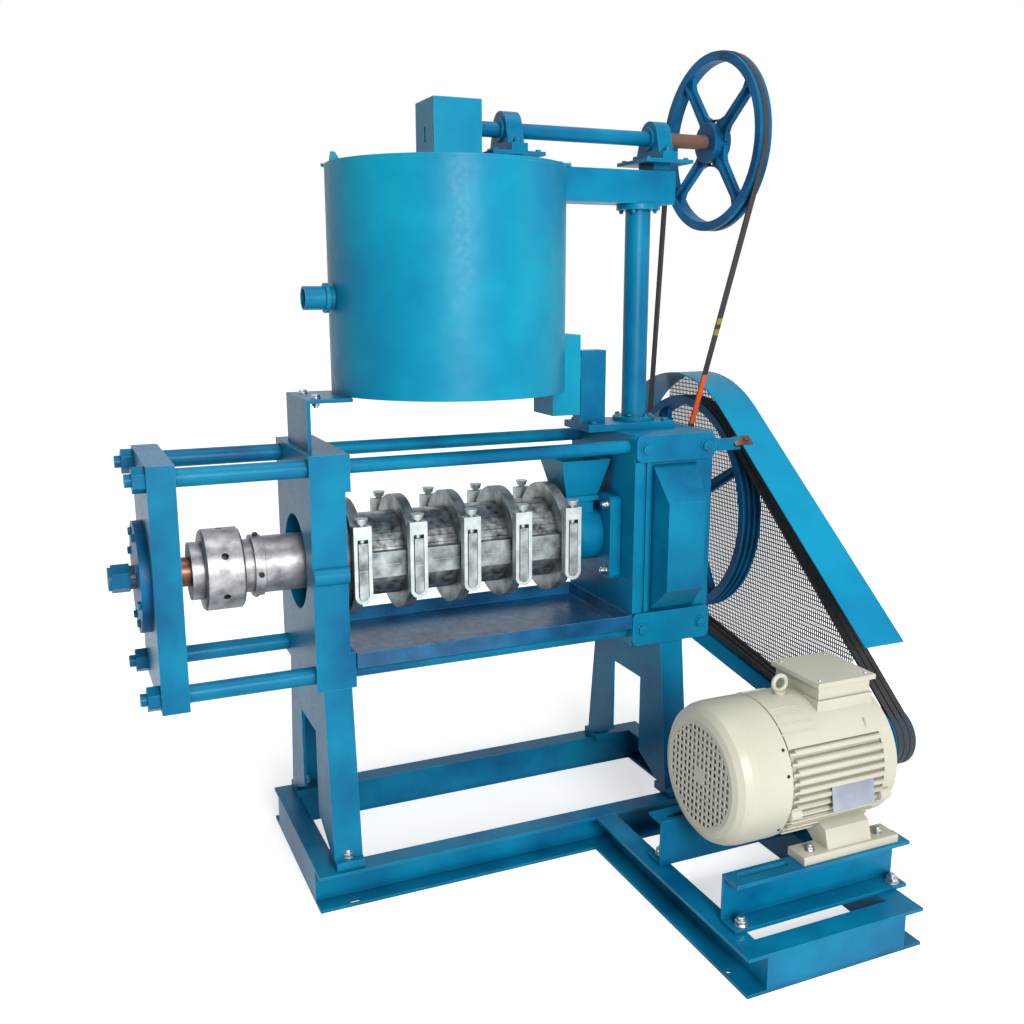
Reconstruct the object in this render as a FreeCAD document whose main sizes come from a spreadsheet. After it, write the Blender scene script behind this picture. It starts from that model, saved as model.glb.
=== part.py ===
import FreeCAD, Part
import math
import os
import re

import Sketcher

# Screw oil press with a steam kettle above it. X runs along the press axis from the discharge
# end to the drive end, Y runs to the back, Z is up. The origin lies on the floor under the
# press axis, at the middle of the main base frame. All sizes are in millimetres.
SIZES = {
    # base frame and motor base, rolled channels
    "base_length": 1258, "base_depth": 560, "channel_rise": 100, "channel_flange": 60, "channel_web": 6,
    "channel_flange_thick": 8, "motor_base_reach": 727, "motor_base_width": 395, "slot_length": 34,
    "slot_width": 16, "slot_inset": 15, "slot_from_end": 95,
    # motor rails
    "rail_rise": 126, "rail_length": 520, "rail_start": 201, "rail_flange": 62, "rail_web": 6,
    "rail_back": 23, "rail_flange_thick": 9, "rail_slot_length": 142, "rail_slot_width": 18,
    # press axis, frames and tie rods
    "axis_rise": 873, "frame_width": 386, "frame_below": 304, "frame_above": 307,
    "middle_frame_x": -595, "middle_frame_thick": 90, "middle_frame_bore": 127, "frame_corner_band": 95,
    "frame_corner_out": 14, "end_plate_x": -975, "end_plate_thick": 66, "tie_rod_y": 153,
    "tie_rod_z": 271, "tie_rod_left": 23, "tie_rod_right": 19, "tie_rod_end": 16, "tie_rod_stud": 46,
    "nut_size": 28, "nut_thick": 30, "end_cover_radius": 142, "end_cover_thick": 25,
    # stands under the press
    "stand_spread": 52, "stand_leg_width": 75, "stand_plate": 8, "stand_window_half": 85,
    "stand_window_low": 60, "stand_window_high": 150, "foot_length": 62, "foot_thick": 22,
    "foot_bar": 34, "foot_out": 24, "right_stand_x": 425,
    # gearbox
    "gearbox_x": 324, "gearbox_length": 257, "gearbox_rear_reach": 161, "gearbox_rear_half": 160,
    "gearbox_top_band": 75, "gearbox_low_band": 96, "band_thick": 14, "band_corner": 18,
    "cover_left": 60, "cover_width": 144, "cover_front_width": 118, "cover_root_high": 222,
    "cover_root_low": 206, "cover_front_half": 125, "cover_reach": 94, "cover_sheet": 4,
    "top_plate_thick": 20, "top_plate_overhang": 84, "top_plate_right": 200, "top_plate_width": 160,
    # gears and shafts inside the gearbox
    "gear_left": 405, "tooth_half": 3.7, "tooth_slope": 0.364, "rod_socket": 40, "rib_out": 6,
    "gear_module": 6, "bull_teeth": 73, "pinion_teeth": 15, "gear_face": 80, "gear_gap": 12,
    "pinion_shaft_radius": 27, "pinion_shaft_end": 842, "bearing_width": 34, "bearing_ring": 32,
    "running_fit": 0.05, "seat_gap": 0.1, "input_housing_reach": 68, "input_housing_radius": 66,
    # worm shaft and press worm
    "shaft_radius": 38, "shaft_journal": 30, "shaft_gear_seat": 45, "shaft_nut_size": 32,
    "shaft_nut_thick": 44, "shaft_nut_off": 14, "shaft_end_x": -1066, "worm_left": -500,
    "worm_root_wall": 10, "worm_root_growth": 12, "worm_outer": 70, "worm_pitch_feed": 100,
    "worm_turns": 7,
    # press cage
    "cage_bar_count": 36, "cage_bar_inner": 72, "cage_bar_depth": 42, "cage_bar_gap": 1.2,
    "cage_bar_fit": 0.2, "hoop_first_x": -461, "hoop_pitch": 150.5, "hoop_count": 5, "hoop_thick": 30,
    "hoop_radius": 158, "hoop_lug_half": 72, "hoop_lug_reach": 26, "hoop_lug_width": 24,
    "flange_bar_out": 138, "flange_bar_in": 116, "flange_bar_rise": 34, "clamp_width": 48,
    "clamp_wall": 10, "clamp_thick": 24, "clamp_below": 89, "clamp_above": 116, "clamp_screw": 8,
    "clamp_head": 18, "clamp_head_rise": 14,
    # feed end
    "feed_radius": 82, "feed_flange": 245, "feed_flange_x": 290, "feed_flange_thick": 34, "feed_x": 234,
    "feed_end_radius": 102, "feed_neck": 92, "feed_neck_top": 104, "hopper_flange": 14,
    "hopper_low": 100, "hopper_high": 156, "hopper_rise": 108, "hopper_sheet": 5,
    # choke at the discharge end
    "choke_sleeve_x": -714, "choke_sleeve_radius": 75, "choke_tip": 24, "choke_tip_radius": 62,
    "choke_nut_x": -840, "choke_nut_length": 98, "choke_nut_radius": 106, "choke_neck_radius": 70,
    "choke_collar": 26, "choke_collar_radius": 81, "choke_ring_x": -870, "choke_fit": 0.3,
    "choke_hole": 9, "choke_hole_count": 6,
    # oil tray
    "tray_left": -489, "tray_depth": 400, "tray_rim": 40, "tray_sheet": 3,
    # kettle
    "kettle_x": -155, "kettle_radius": 317, "kettle_clear": 437, "kettle_rise": 585, "kettle_wall": 6,
    "kettle_bottom": 10, "kettle_lid": 8, "pipe_up": 248, "pipe_radius": 30, "pipe_reach": 66,
    "pipe_flange": 10, "pipe_flange_radius": 38, "pipe_wall": 5, "support_width": 230,
    "support_plate": 10, "support_arm": 120, "support_beam_left": 132, "support_beam_rise": 80,
    "support_post_rise": 228, "support_post_width": 80, "support_post_depth": 50, "duct_out": 372,
    "duct_half": 64, "duct_low": 18, "duct_rise": 163, "duct_sheet": 4, "gate_opening_half": 50,
    "gate_opening_low": 22, "gate_opening_rise": 50, "gate_thick": 5, "gate_lap": 6, "gate_rod": 5,
    "gate_knob": 12,
    # kettle drive
    "drive_above": 100, "gear_box_half": 70, "gear_box_left": 58, "gear_box_right": 74,
    "gear_box_rise": 163, "gear_box_wall": 6, "kettle_shaft_radius": 20, "kettle_shaft_end": 705,
    "stirrer_radius": 22, "stirrer_blade_rise": 50, "stirrer_blade_thick": 12, "stirrer_blade_tip": 292,
    "stirrer_floor_gap": 10, "bevel_pinion_radius": 24, "bevel_gap": 0.6, "bevel_inner": 0.6,
    "column_x": 429, "column_radius": 36, "column_wall": 6, "column_flange": 62,
    "column_flange_thick": 15, "arm_width": 100, "arm_below_rim": 80, "arm_rise": 90, "arm_right": 520,
    "arm_web": 8, "arm_flange_thick": 10, "pillow_left_x": 20, "pillow_right_x": 480,
    "pillow_length": 170, "pillow_thick": 46, "pillow_foot": 20, "pillow_half": 48, "pillow_axis": 60,
    "seat_plate_length": 150, "seat_plate_thick": 10,
    # pulleys and belts
    "kettle_pulley_x": 659, "kettle_pulley_width": 38, "kettle_pulley_radius": 248, "sheave_radius": 76,
    "drive_pulley_x": 774, "drive_pulley_width": 66, "drive_pulley_radius": 357,
    "motor_pulley_radius": 76, "belt_width": 16.4, "belt_thick": 11, "belt_slope": 0.315,
    "belt_proud": 2, "belt_gap": 0.3, "belt_count": 3, "belt_pitch": 20, "groove_floor": 2,
    "rim_depth": 26, "hub_radius": 56, "hub_out": 12, "kettle_hub_radius": 56, "kettle_arm_count": 4,
    "spoke_width": 36, "spoke_thick": 14, "spoke_rib": 9, "spoke_flare": 24, "drive_arm_count": 4,
    "drive_arm_turn": 61, "kettle_arm_turn": 52,
    # belt guard
    "guard_x": 723, "guard_width": 128, "guard_radius": 414, "guard_y": 235, "guard_above_axis": 21,
    "guard_sheet": 4, "guard_top_y": -710, "guard_top_z": 667, "guard_low_y": -470, "guard_low_z": 370,
    "guard_corner_y": -658, "guard_corner_z": 560, "guard_panel_thick": 3, "brace_y": -130,
    "brace_above_axis": 255, "brace_thick": 8, "brace_width": 36,
    # motor
    "motor_y": -718, "motor_shaft_rise": 188, "motor_x": 218, "motor_length": 488, "motor_radius": 164,
    "motor_fin": 13, "motor_fin_count": 11, "fin_pitch": 22, "fin_thick": 5, "fin_low": -132,
    "shoulder_low": 100, "motor_shield": 60, "motor_shield_radius": 171, "motor_nose_radius": 70,
    "motor_shaft": 24, "motor_shaft_end": 840, "motor_foot_span": 318, "motor_foot_out": 30,
    "motor_foot_x": 400, "motor_foot_length": 290, "motor_foot_pad": 64, "pedestal_inset": 78,
    "pedestal_rise": 46, "terminal_pad": 6, "motor_foot_thick": 20, "motor_bolt_x": 438,
    "motor_bolt_span": 210, "motor_bolt_hole": 8, "fan_cover_length": 146, "fan_cover_radius": 178,
    "fan_cover_sheet": 3, "fan_grille_radius": 126, "fan_radius": 140, "fan_thick": 30,
    "fan_blade_count": 9, "grille_bar": 6.5, "grille_pitch": 18, "grille_half_count": 7,
    "grille_boss": 22, "rotor_radius": 92, "terminal_x": 580, "terminal_length": 158,
    "terminal_width": 168, "terminal_y": -718, "terminal_top": 640, "terminal_lid": 12,
    "terminal_lid_out": 10, "eye_x": 448, "eye_radius": 19, "eye_wire": 6,
}

doc = FreeCAD.newDocument("ScrewOilPress")
sheet = doc.addObject("Spreadsheet::Sheet", "Sizes")
for row, (alias, number) in enumerate(SIZES.items(), 1):
    sheet.set(f"A{row}", alias)
    sheet.set(f"B{row}", str(number))
    sheet.setAlias(f"B{row}", alias)
doc.recompute()

# Heights and radii that follow other sizes; an expression names them like the sheet's own.
FOLLOWERS = {
    "frame_low": "(axis_rise - frame_below)",
    "frame_high": "(axis_rise + frame_above)",
    "kettle_low": "(axis_rise + kettle_clear)",
    "kettle_high": "(kettle_low + kettle_rise)",
    "pipe_z": "(kettle_low + pipe_up)",
    "drive_rise": "(kettle_high + drive_above)",
    "arm_low": "(kettle_high - arm_below_rim)",
    "guard_rise": "(axis_rise + guard_above_axis)",
    "brace_rise": "(axis_rise + brace_above_axis)",
    "worm_root_feed": "(shaft_radius + worm_root_wall)",
    "worm_root_press": "(worm_root_feed + worm_root_growth)",
}
FUNCTIONS = ("sin", "cos", "tan", "sqrt", "atan")
NODES = {}
CUTS = []


# ---- helpers -------------------------------------------------------------------------------
def size(alias):
    """The number that the sheet holds for one size."""
    return float(sheet.get(alias))


def bound(text):
    """An expression in plain size names, pointed at the sheet's cells."""
    def cell(word):
        name = word.group(0)
        if name in FOLLOWERS:
            return bound(FOLLOWERS[name])
        return name if name in FUNCTIONS else f"Sizes.{name}"
    return re.sub(r"[a-z][a-z_0-9]*", cell, str(text))


def place(thing, x="0", y="0", z="0"):
    for letter, where in zip("xyz", (x, y, z)):
        thing.setExpression(f"Placement.Base.{letter}", bound(where))
    return thing


TURNS = {
    "X": FreeCAD.Rotation(FreeCAD.Vector(0, 1, 0), 90),
    "Y": FreeCAD.Rotation(FreeCAD.Vector(1, 0, 0), -90),
    "Z": FreeCAD.Rotation(),
}
PLANES = {
    "XY": FreeCAD.Rotation(),
    "XZ": FreeCAD.Rotation(FreeCAD.Vector(1, 0, 0), 90),
    "YZ": FreeCAD.Rotation(FreeCAD.Vector(1, 1, 1), 120),
}


def block(name, x, y, z):
    """A box between two expressions on each axis."""
    box = doc.addObject("Part::Box", name)
    for side, (low, high) in zip(("Length", "Width", "Height"), (x, y, z)):
        box.setExpression(side, bound(f"({high}) - ({low})"))
    return place(box, x[0], y[0], z[0])


def axis_base(axis, start, centre):
    first, second = centre
    return {"X": (start, first, second), "Y": (first, start, second), "Z": (first, second, start)}[axis]


def rod(name, axis, span, centre, radius):
    """A cylinder along one axis; centre holds the two other coordinates in X, Y, Z order."""
    cylinder = doc.addObject("Part::Cylinder", name)
    cylinder.Placement = FreeCAD.Placement(FreeCAD.Vector(), TURNS[axis])
    cylinder.setExpression("Radius", bound(radius))
    cylinder.setExpression("Height", bound(f"({span[1]}) - ({span[0]})"))
    return place(cylinder, *axis_base(axis, span[0], centre))


def taper(name, axis, span, centre, radii):
    cone = doc.addObject("Part::Cone", name)
    cone.Placement = FreeCAD.Placement(FreeCAD.Vector(), TURNS[axis])
    cone.setExpression("Radius1", bound(radii[0]))
    cone.setExpression("Radius2", bound(radii[1]))
    cone.setExpression("Height", bound(f"({span[1]}) - ({span[0]})"))
    return place(cone, *axis_base(axis, span[0], centre))


def hexagon(name, axis, span, centre, flat_radius):
    """A nut's body: flat_radius is half of its width across the flats."""
    prism = doc.addObject("Part::Prism", name)
    prism.Polygon = 6
    prism.Placement = FreeCAD.Placement(FreeCAD.Vector(), TURNS[axis])
    prism.setExpression("Circumradius", bound(f"({flat_radius})*2/sqrt(3)"))
    prism.setExpression("Height", bound(f"({span[1]}) - ({span[0]})"))
    return place(prism, *axis_base(axis, span[0], centre))


def fuse(name, *parts):
    union = doc.addObject("Part::MultiFuse", name)
    union.Shapes = list(parts)
    return union


def cut(name, base, *tools):
    difference = doc.addObject("Part::Cut", name)
    difference.Base = base
    difference.Tool = tools[0] if len(tools) == 1 else fuse(f"{name}_tools", *tools)
    return difference


def common(name, first, second):
    overlap = doc.addObject("Part::Common", name)
    overlap.Base = first
    overlap.Tool = second
    return overlap


def group(name, *parts):
    compound = doc.addObject("Part::Compound", name)
    compound.Links = list(parts)
    return compound


def node(label, thing):
    thing.Label = label
    NODES[label] = thing
    return thing


def dimension(sketch, kind, expression, *where):
    """Add one sketch constraint at the expression's value and bind it."""
    probe = bound(expression)
    index = sketch.addConstraint(Sketcher.Constraint(kind, *where))
    sketch.setExpression(f"Constraints[{index}]", probe)


def draw(sketch, points, circles=()):
    """A closed outline through points, with round holes; every coordinate is an expression."""
    count = len(points)
    rough = [FreeCAD.Vector(100 * math.cos(6.283 * i / count), 100 * math.sin(6.283 * i / count), 0)
             for i in range(count)]
    for i in range(count):
        sketch.addGeometry(Part.LineSegment(rough[i], rough[(i + 1) % count]), False)
    for i in range(count):
        sketch.addConstraint(Sketcher.Constraint("Coincident", i, 2, (i + 1) % count, 1))
    for i, (across, along) in enumerate(points):
        dimension(sketch, "DistanceX", across, -1, 1, i, 1, rough[i].x)
        dimension(sketch, "DistanceY", along, -1, 1, i, 1, rough[i].y)
    for across, along, radius in circles:
        edge = Part.Circle(FreeCAD.Vector(1, 1, 0), FreeCAD.Vector(0, 0, 1), 3)
        ring = sketch.addGeometry(edge, False)
        dimension(sketch, "DistanceX", across, -1, 1, ring, 3, 1)
        dimension(sketch, "DistanceY", along, -1, 1, ring, 3, 1)
        dimension(sketch, "Radius", radius, ring, 3)
    return sketch


def extrusion(name, plane, span, points, circles=()):
    """A prism: its outline lies in a plane and runs over span along the plane's axis."""
    outline = doc.addObject("Sketcher::SketchObject", f"{name}_outline")
    draw(outline, points, circles)
    outline.Placement = FreeCAD.Placement(FreeCAD.Vector(), PLANES[plane])
    letter = {"XY": "z", "XZ": "y", "YZ": "x"}[plane]
    start = span[1] if plane == "XZ" else span[0]
    outline.setExpression(f"Placement.Base.{letter}", bound(start))
    prism = doc.addObject("Part::Extrusion", name)
    prism.Base = outline
    prism.DirMode = "Normal"
    prism.Solid = True
    prism.setExpression("LengthFwd", bound(f"({span[1]}) - ({span[0]})"))
    return prism


def body(name):
    return doc.addObject("PartDesign::Body", name)


def sketch_on(owner, name, role, offset="0", turn="0"):
    """An empty sketch on one of the body's origin planes, moved along its normal and turned about it."""
    outline = owner.newObject("Sketcher::SketchObject", name)
    plane = next(item for item in owner.Origin.OriginFeatures if item.Role == role)
    outline.AttachmentSupport = [(plane, "")]
    outline.MapMode = "FlatFace"
    about_z = FreeCAD.Rotation(FreeCAD.Vector(0, 0, 1), 1)
    outline.AttachmentOffset = FreeCAD.Placement(FreeCAD.Vector(), about_z)
    outline.setExpression("AttachmentOffset.Rotation.Angle", bound(turn))
    outline.setExpression("AttachmentOffset.Base.z", bound(offset))
    return outline


def pad(owner, name, outline, length):
    feature = owner.newObject("PartDesign::Pad", name)
    feature.Profile = outline
    feature.setExpression("Length", bound(length))
    return feature


def pocket(owner, name, outline, length):
    """A pocket that runs along its sketch's normal, into the solid."""
    feature = owner.newObject("PartDesign::Pocket", name)
    feature.Profile = outline
    feature.Reversed = True
    feature.setExpression("Length", bound(length))
    CUTS.append(feature)
    return feature


def revolve(owner, name, points, axis):
    """A turned solid: points are (along, radius) about X or (radius, along) about Z."""
    outline = draw(sketch_on(owner, f"{name}_outline", "XZ_Plane"), points)
    feature = owner.newObject("PartDesign::Revolution", name)
    feature.Profile = outline
    feature.ReferenceAxis = (outline, ["H_Axis" if axis == "X" else "V_Axis"])
    feature.Angle = 360
    return feature


def polar(owner, name, features, axis, count):
    pattern = owner.newObject("PartDesign::PolarPattern", name)
    pattern.Originals = features
    line = next(item for item in owner.Origin.OriginFeatures if item.Role == f"{axis}_Axis")
    pattern.Axis = (line, [""])
    pattern.Angle = 360
    pattern.setExpression("Occurrences", bound(count))
    owner.Tip = pattern
    return pattern




def channel(name, axis, span, back, toward, low, rise, flange, web, thick):
    """A rolled channel: back is its web's flat side and the flanges point toward -1 or 1."""
    tip = f"({back}) + {toward}*({flange})"
    inner = f"({back}) + {toward}*({web})"
    high = f"({low}) + ({rise})"
    points = [(back, low), (tip, low), (tip, f"({low}) + ({thick})"), (inner, f"({low}) + ({thick})"),
              (inner, f"({high}) - ({thick})"), (tip, f"({high}) - ({thick})"), (tip, high),
              (back, high)]
    return extrusion(name, "YZ" if axis == "X" else "XZ", span, points)


def base_channel(name, axis, span, back, toward):
    return channel(name, axis, span, back, toward, "0", "channel_rise", "channel_flange",
                   "channel_web", "channel_flange_thick")


def slot(name, x, y, z, length, width):
    """A cutter for a slot along X with round ends, through the level z."""
    reach = f"(({length}) - ({width}))/2"
    ends = [rod(f"{name}_end{side}", "Z", z, (f"({x}) + {side}*{reach}", y), f"({width})/2")
            for side in (-1, 1)]
    middle = block(f"{name}_middle", (f"({x}) - {reach}", f"({x}) + {reach}"),
                   (f"({y}) - ({width})/2", f"({y}) + ({width})/2"), z)
    return fuse(name, middle, *ends)


def rounded_plate(name, axis, span, across, up, corner):
    """A plate normal to X or Y with round corners."""
    low, high = across
    bottom, top = up
    if axis == "X":
        wide = block(f"{name}_wide", span, across, (f"({bottom}) + {corner}", f"({top}) - {corner}"))
        tall = block(f"{name}_tall", span, (f"({low}) + {corner}", f"({high}) - {corner}"), up)
    else:
        wide = block(f"{name}_wide", across, span, (f"({bottom}) + {corner}", f"({top}) - {corner}"))
        tall = block(f"{name}_tall", (f"({low}) + {corner}", f"({high}) - {corner}"), span, up)
    rounds = [rod(f"{name}_corner{i}{j}", axis, span,
                  (f"({(low, high)[i]}) + {1 - 2 * i}*{corner}",
                   f"({(bottom, top)[j]}) + {1 - 2 * j}*{corner}"),
                  corner) for i in (0, 1) for j in (0, 1)]
    return fuse(name, wide, tall, *rounds)


# ---- base ----------------------------------------------------------------------------------
def base_frame():
    half, deep = "base_length/2", "base_depth/2"
    inner = f"{deep} - channel_flange"
    frame = fuse(
        "base_weld",
        base_channel("base_front", "X", (f"-{half}", half), f"-({inner})", -1),
        base_channel("base_rear", "X", (f"-{half}", half), inner, 1),
        base_channel("base_left", "Y", (f"-({inner})", inner), f"-{half}", 1),
        base_channel("base_right", "Y", (f"-({inner})", inner), half, -1))
    slots = [slot(f"base_slot{i}{j}", f"{i}*({half} - slot_from_end)", f"{j}*({deep} - slot_inset)",
                  ("-1", "channel_flange_thick + 1"), "slot_length", "slot_width")
             for i in (-1, 1) for j in (-1, 1)]
    node("base_frame", cut("base_frame", frame, *slots))


def motor_base():
    near, far = "-base_depth/2 - motor_base_reach", "-base_depth/2"
    left, right = "base_length/2 - motor_base_width", "base_length/2"
    frame = fuse(
        "motor_base_weld",
        base_channel("motor_base_front", "X", (left, right), near, 1),
        base_channel("motor_base_left", "Y", (near, far), left, -1),
        base_channel("motor_base_right", "Y", (near, far), right, 1))
    holes = [rod(f"motor_base_hole{side}", "Z", ("-1", "channel_flange_thick + 1"),
                 (f"{edge} + {side}*(channel_flange - slot_inset)", f"({near}) + slot_from_end"),
                 "slot_width/2") for edge, side in ((left, -1), (right, 1))]
    node("motor_base", cut("motor_base", frame, *holes))


def motor_rails():
    high = "channel_rise + rail_rise"
    rails = []
    for side in (-1, 1):
        line = f"motor_y + {side}*motor_foot_span/2"
        back = f"({line}) - {side}*rail_back"
        rail = channel(f"rail{side}", "X", ("rail_start", "rail_start + rail_length"), back, side,
                       "channel_rise", "rail_rise", "rail_flange", "rail_web", "rail_flange_thick")
        slots = [slot(f"rail_slot{side}{k}", f"rail_start + {centre}", line,
                      (f"{high} - rail_flange_thick - 1", f"{high} + 1"), "rail_slot_length",
                      "rail_slot_width")
                 for k, centre in ((0, "100"), (1, "rail_length - 130"))]
        rails.append(cut(f"rail_slotted{side}", rail, *slots))
    node("motor_rails", group("motor_rails", *rails))


def stand(label, x, low_y_out="frame_width/2 + stand_spread"):
    """A welded stand: a gusseted plate, two splayed legs and a foot pad under each."""
    half, high, floor = "frame_width/2", "frame_low", "channel_rise"
    pad_top = f"{floor} + foot_thick"
    owner = body(label)
    plate = sketch_on(owner, f"{label}_plate", "YZ_Plane", f"{x}")
    draw(plate, [(f"-({low_y_out})", pad_top), (f"-({half})", high), (half, high), (low_y_out, pad_top),
                 (f"({low_y_out}) - foot_bar", pad_top),
                 ("stand_window_half", f"{pad_top} + stand_window_low"),
                 ("stand_window_half", f"{high} - stand_window_high"),
                 ("-stand_window_half", f"{high} - stand_window_high"),
                 ("-stand_window_half", f"{pad_top} + stand_window_low"),
                 (f"-({low_y_out}) + foot_bar", pad_top)])
    pad(owner, f"{label}_gusset", plate, "stand_plate")
    for side in (-1, 1):
        leg = sketch_on(owner, f"{label}_leg{side}", "YZ_Plane", f"{x}")
        draw(leg, [(f"{side}*({low_y_out})", pad_top), (f"{side}*({half})", high),
                   (f"{side}*({half} - stand_plate)", high),
                   (f"{side}*({low_y_out} - stand_plate)", pad_top)])
        pad(owner, f"{label}_leg_pad{side}", leg, "stand_leg_width")
        foot = sketch_on(owner, f"{label}_foot{side}", "YZ_Plane", f"{x}")
        draw(foot, [(f"{side}*({low_y_out} + foot_out)", floor),
                    (f"{side}*({low_y_out} + foot_out)", pad_top),
                    (f"{side}*({low_y_out} - foot_length)", pad_top),
                    (f"{side}*({low_y_out} - foot_length)", floor)])
        pad(owner, f"{label}_foot_pad{side}", foot, "stand_leg_width")
    head = sketch_on(owner, f"{label}_head", "YZ_Plane", f"{x}")
    draw(head, [(f"-({half})", f"{high} - stand_plate"), (half, f"{high} - stand_plate"), (half, high),
                (f"-({half})", high)])
    pad(owner, f"{label}_head_pad", head, "stand_leg_width")
    node(label, owner)


# ---- press frames and tie rods -------------------------------------------------------------
ROD_PLACES = {"upper_front": (-1, 1), "upper_rear": (1, 1), "lower_front": (-1, -1),
              "lower_rear": (1, -1)}


def rod_centre(sides):
    return f"{sides[0]}*tie_rod_y", f"axis_rise + {sides[1]}*tie_rod_z"


def middle_frame():
    half, right = "frame_width/2", "middle_frame_x + middle_frame_thick"
    plate = block("middle_plate", ("middle_frame_x", right), (f"-{half}", half), ("frame_low", "frame_high"))
    bands = [block(f"middle_band{k}", (right, f"{right} + frame_corner_out"), (f"-{half}", half), levels)
             for k, levels in enumerate((("frame_low", "frame_low + frame_corner_band"),
                                         ("frame_high - frame_corner_band", "frame_high")))]
    ribs = [rod(f"middle_rib{side}", "X", ("middle_frame_x", right), (f"{side}*{half}", "axis_rise"),
                "tie_rod_left") for side in (-1, 1)]
    bore = rod("middle_bore", "X", ("middle_frame_x - 1", f"{right} + 1"), ("0", "axis_rise"),
               "middle_frame_bore")
    holes = [rod(f"middle_hole_{name}", "X", ("middle_frame_x - 1", f"{right} + frame_corner_out + 1"),
                 rod_centre(sides), "tie_rod_end") for name, sides in ROD_PLACES.items()]
    node("middle_frame", cut("middle_frame", fuse("middle_weld", plate, *bands, *ribs), bore, *holes))


def end_plate():
    half, right = "frame_width/2", "end_plate_x + end_plate_thick"
    plate = block("end_slab", ("end_plate_x", right), (f"-{half}", half), ("frame_low", "frame_high"))
    seat = rod("end_seat", "X", ("end_plate_x - 1", f"{right} + 1"), ("0", "axis_rise"),
               "shaft_journal + bearing_ring")
    holes = [rod(f"end_hole_{name}", "X", ("end_plate_x - 1", f"{right} + 1"), rod_centre(sides),
                 "tie_rod_end") for name, sides in ROD_PLACES.items()]
    node("end_plate", cut("end_plate", plate, seat, *holes))
    disc = rod("end_cover_disc", "X", ("end_plate_x - end_cover_thick", "end_plate_x"),
               ("0", "axis_rise"), "end_cover_radius")
    eye = rod("end_cover_eye", "X", ("end_plate_x - end_cover_thick - 1", "end_plate_x + 1"),
              ("0", "axis_rise"), "shaft_journal + 1")
    node("end_bearing_cover", cut("end_bearing_cover", disc, eye))


def tie_rods():
    left_nut = "end_plate_x - nut_thick"
    shoulder = "middle_frame_x + middle_frame_thick + frame_corner_out"
    for name, sides in ROD_PLACES.items():
        centre = rod_centre(sides)
        label = f"{name}_tie_rod"
        owner = body(label)
        revolve(owner, f"{label}_turned", [
            ("end_plate_x - tie_rod_stud", "0"), ("end_plate_x - tie_rod_stud", "tie_rod_end"),
            ("end_plate_x + end_plate_thick", "tie_rod_end"),
            ("end_plate_x + end_plate_thick", "tie_rod_left"), ("middle_frame_x", "tie_rod_left"),
            ("middle_frame_x", "tie_rod_end"), (shoulder, "tie_rod_end"), (shoulder, "tie_rod_right"),
            ("gearbox_x", "tie_rod_right"), ("gearbox_x", "tie_rod_end"),
            ("gearbox_x + rod_socket", "tie_rod_end"), ("gearbox_x + rod_socket", "0")], "X")
        place(owner, "0", *centre)
        span = (left_nut, "end_plate_x")
        nut = cut(f"{label}_nut", hexagon(f"{label}_hex", "X", span, centre, "nut_size"),
                  rod(f"{label}_nut_bore", "X", span, centre, "tie_rod_end"))
        owner.Label = f"{label}_bar"
        node(label, group(label, owner, nut))


# ---- press cage ----------------------------------------------------------------------------
def hoop_x(number):
    return f"hoop_first_x + {number}*hoop_pitch"


CAGE_LEFT = "middle_frame_x + middle_frame_thick"
CAGE_BORE = "cage_bar_inner + cage_bar_depth + cage_bar_fit"
FEED_FACE = "hoop_first_x + (hoop_count - 1)*hoop_pitch + hoop_thick/2"


def cage_halves():
    """Five hoops with clamp lugs, an end ring and split flanges, parted at the axis level."""
    pieces = []
    for k in range(int(size("hoop_count"))):
        low, high = f"{hoop_x(k)} - hoop_thick/2", f"{hoop_x(k)} + hoop_thick/2"
        pieces.append(rod(f"hoop{k}", "X", (low, high), ("0", "axis_rise"), "hoop_radius"))
        reach = ("-hoop_radius - hoop_lug_reach", "hoop_radius + hoop_lug_reach")
        foot = "axis_rise - clamp_below + clamp_wall + hoop_lug_width/2"
        pieces.append(block(f"hoop_lug{k}",
                            (f"{hoop_x(k)} - hoop_lug_width/2", f"{hoop_x(k)} + hoop_lug_width/2"),
                            reach, (foot, "axis_rise + hoop_lug_half")))
        pieces.append(rod(f"hoop_lug_foot{k}", "Y", reach, (hoop_x(k), foot), "hoop_lug_width/2"))
    first = f"{hoop_x(0)} - hoop_thick/2"
    pieces.append(rod("cage_end_ring", "X", (CAGE_LEFT, first), ("0", "axis_rise"), "flange_bar_out"))
    for side in (-1, 1):
        edges = sorted((f"{side}*flange_bar_in", f"{side}*flange_bar_out"),
                       key=lambda text: side * (text.endswith("out")))
        pieces.append(block(f"flange_bar{side}", (first, FEED_FACE), edges,
                            ("axis_rise - flange_bar_rise", "axis_rise + flange_bar_rise")))
    bore = rod("cage_bore", "X", (f"{CAGE_LEFT} - 1", f"{FEED_FACE} + 1"), ("0", "axis_rise"), CAGE_BORE)
    whole = cut("cage_whole", fuse("cage_weld", *pieces), bore)
    reach = "hoop_radius + hoop_lug_reach + 10"
    for label, levels in (("cage_upper_half", ("axis_rise", f"axis_rise + {reach}")),
                          ("cage_lower_half", (f"axis_rise - ({reach})", "axis_rise"))):
        half = block(f"{label}_box", (f"{CAGE_LEFT} - 1", f"{FEED_FACE} + 1"), (f"-({reach})", reach), levels)
        node(label, common(label, whole, half))


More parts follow.
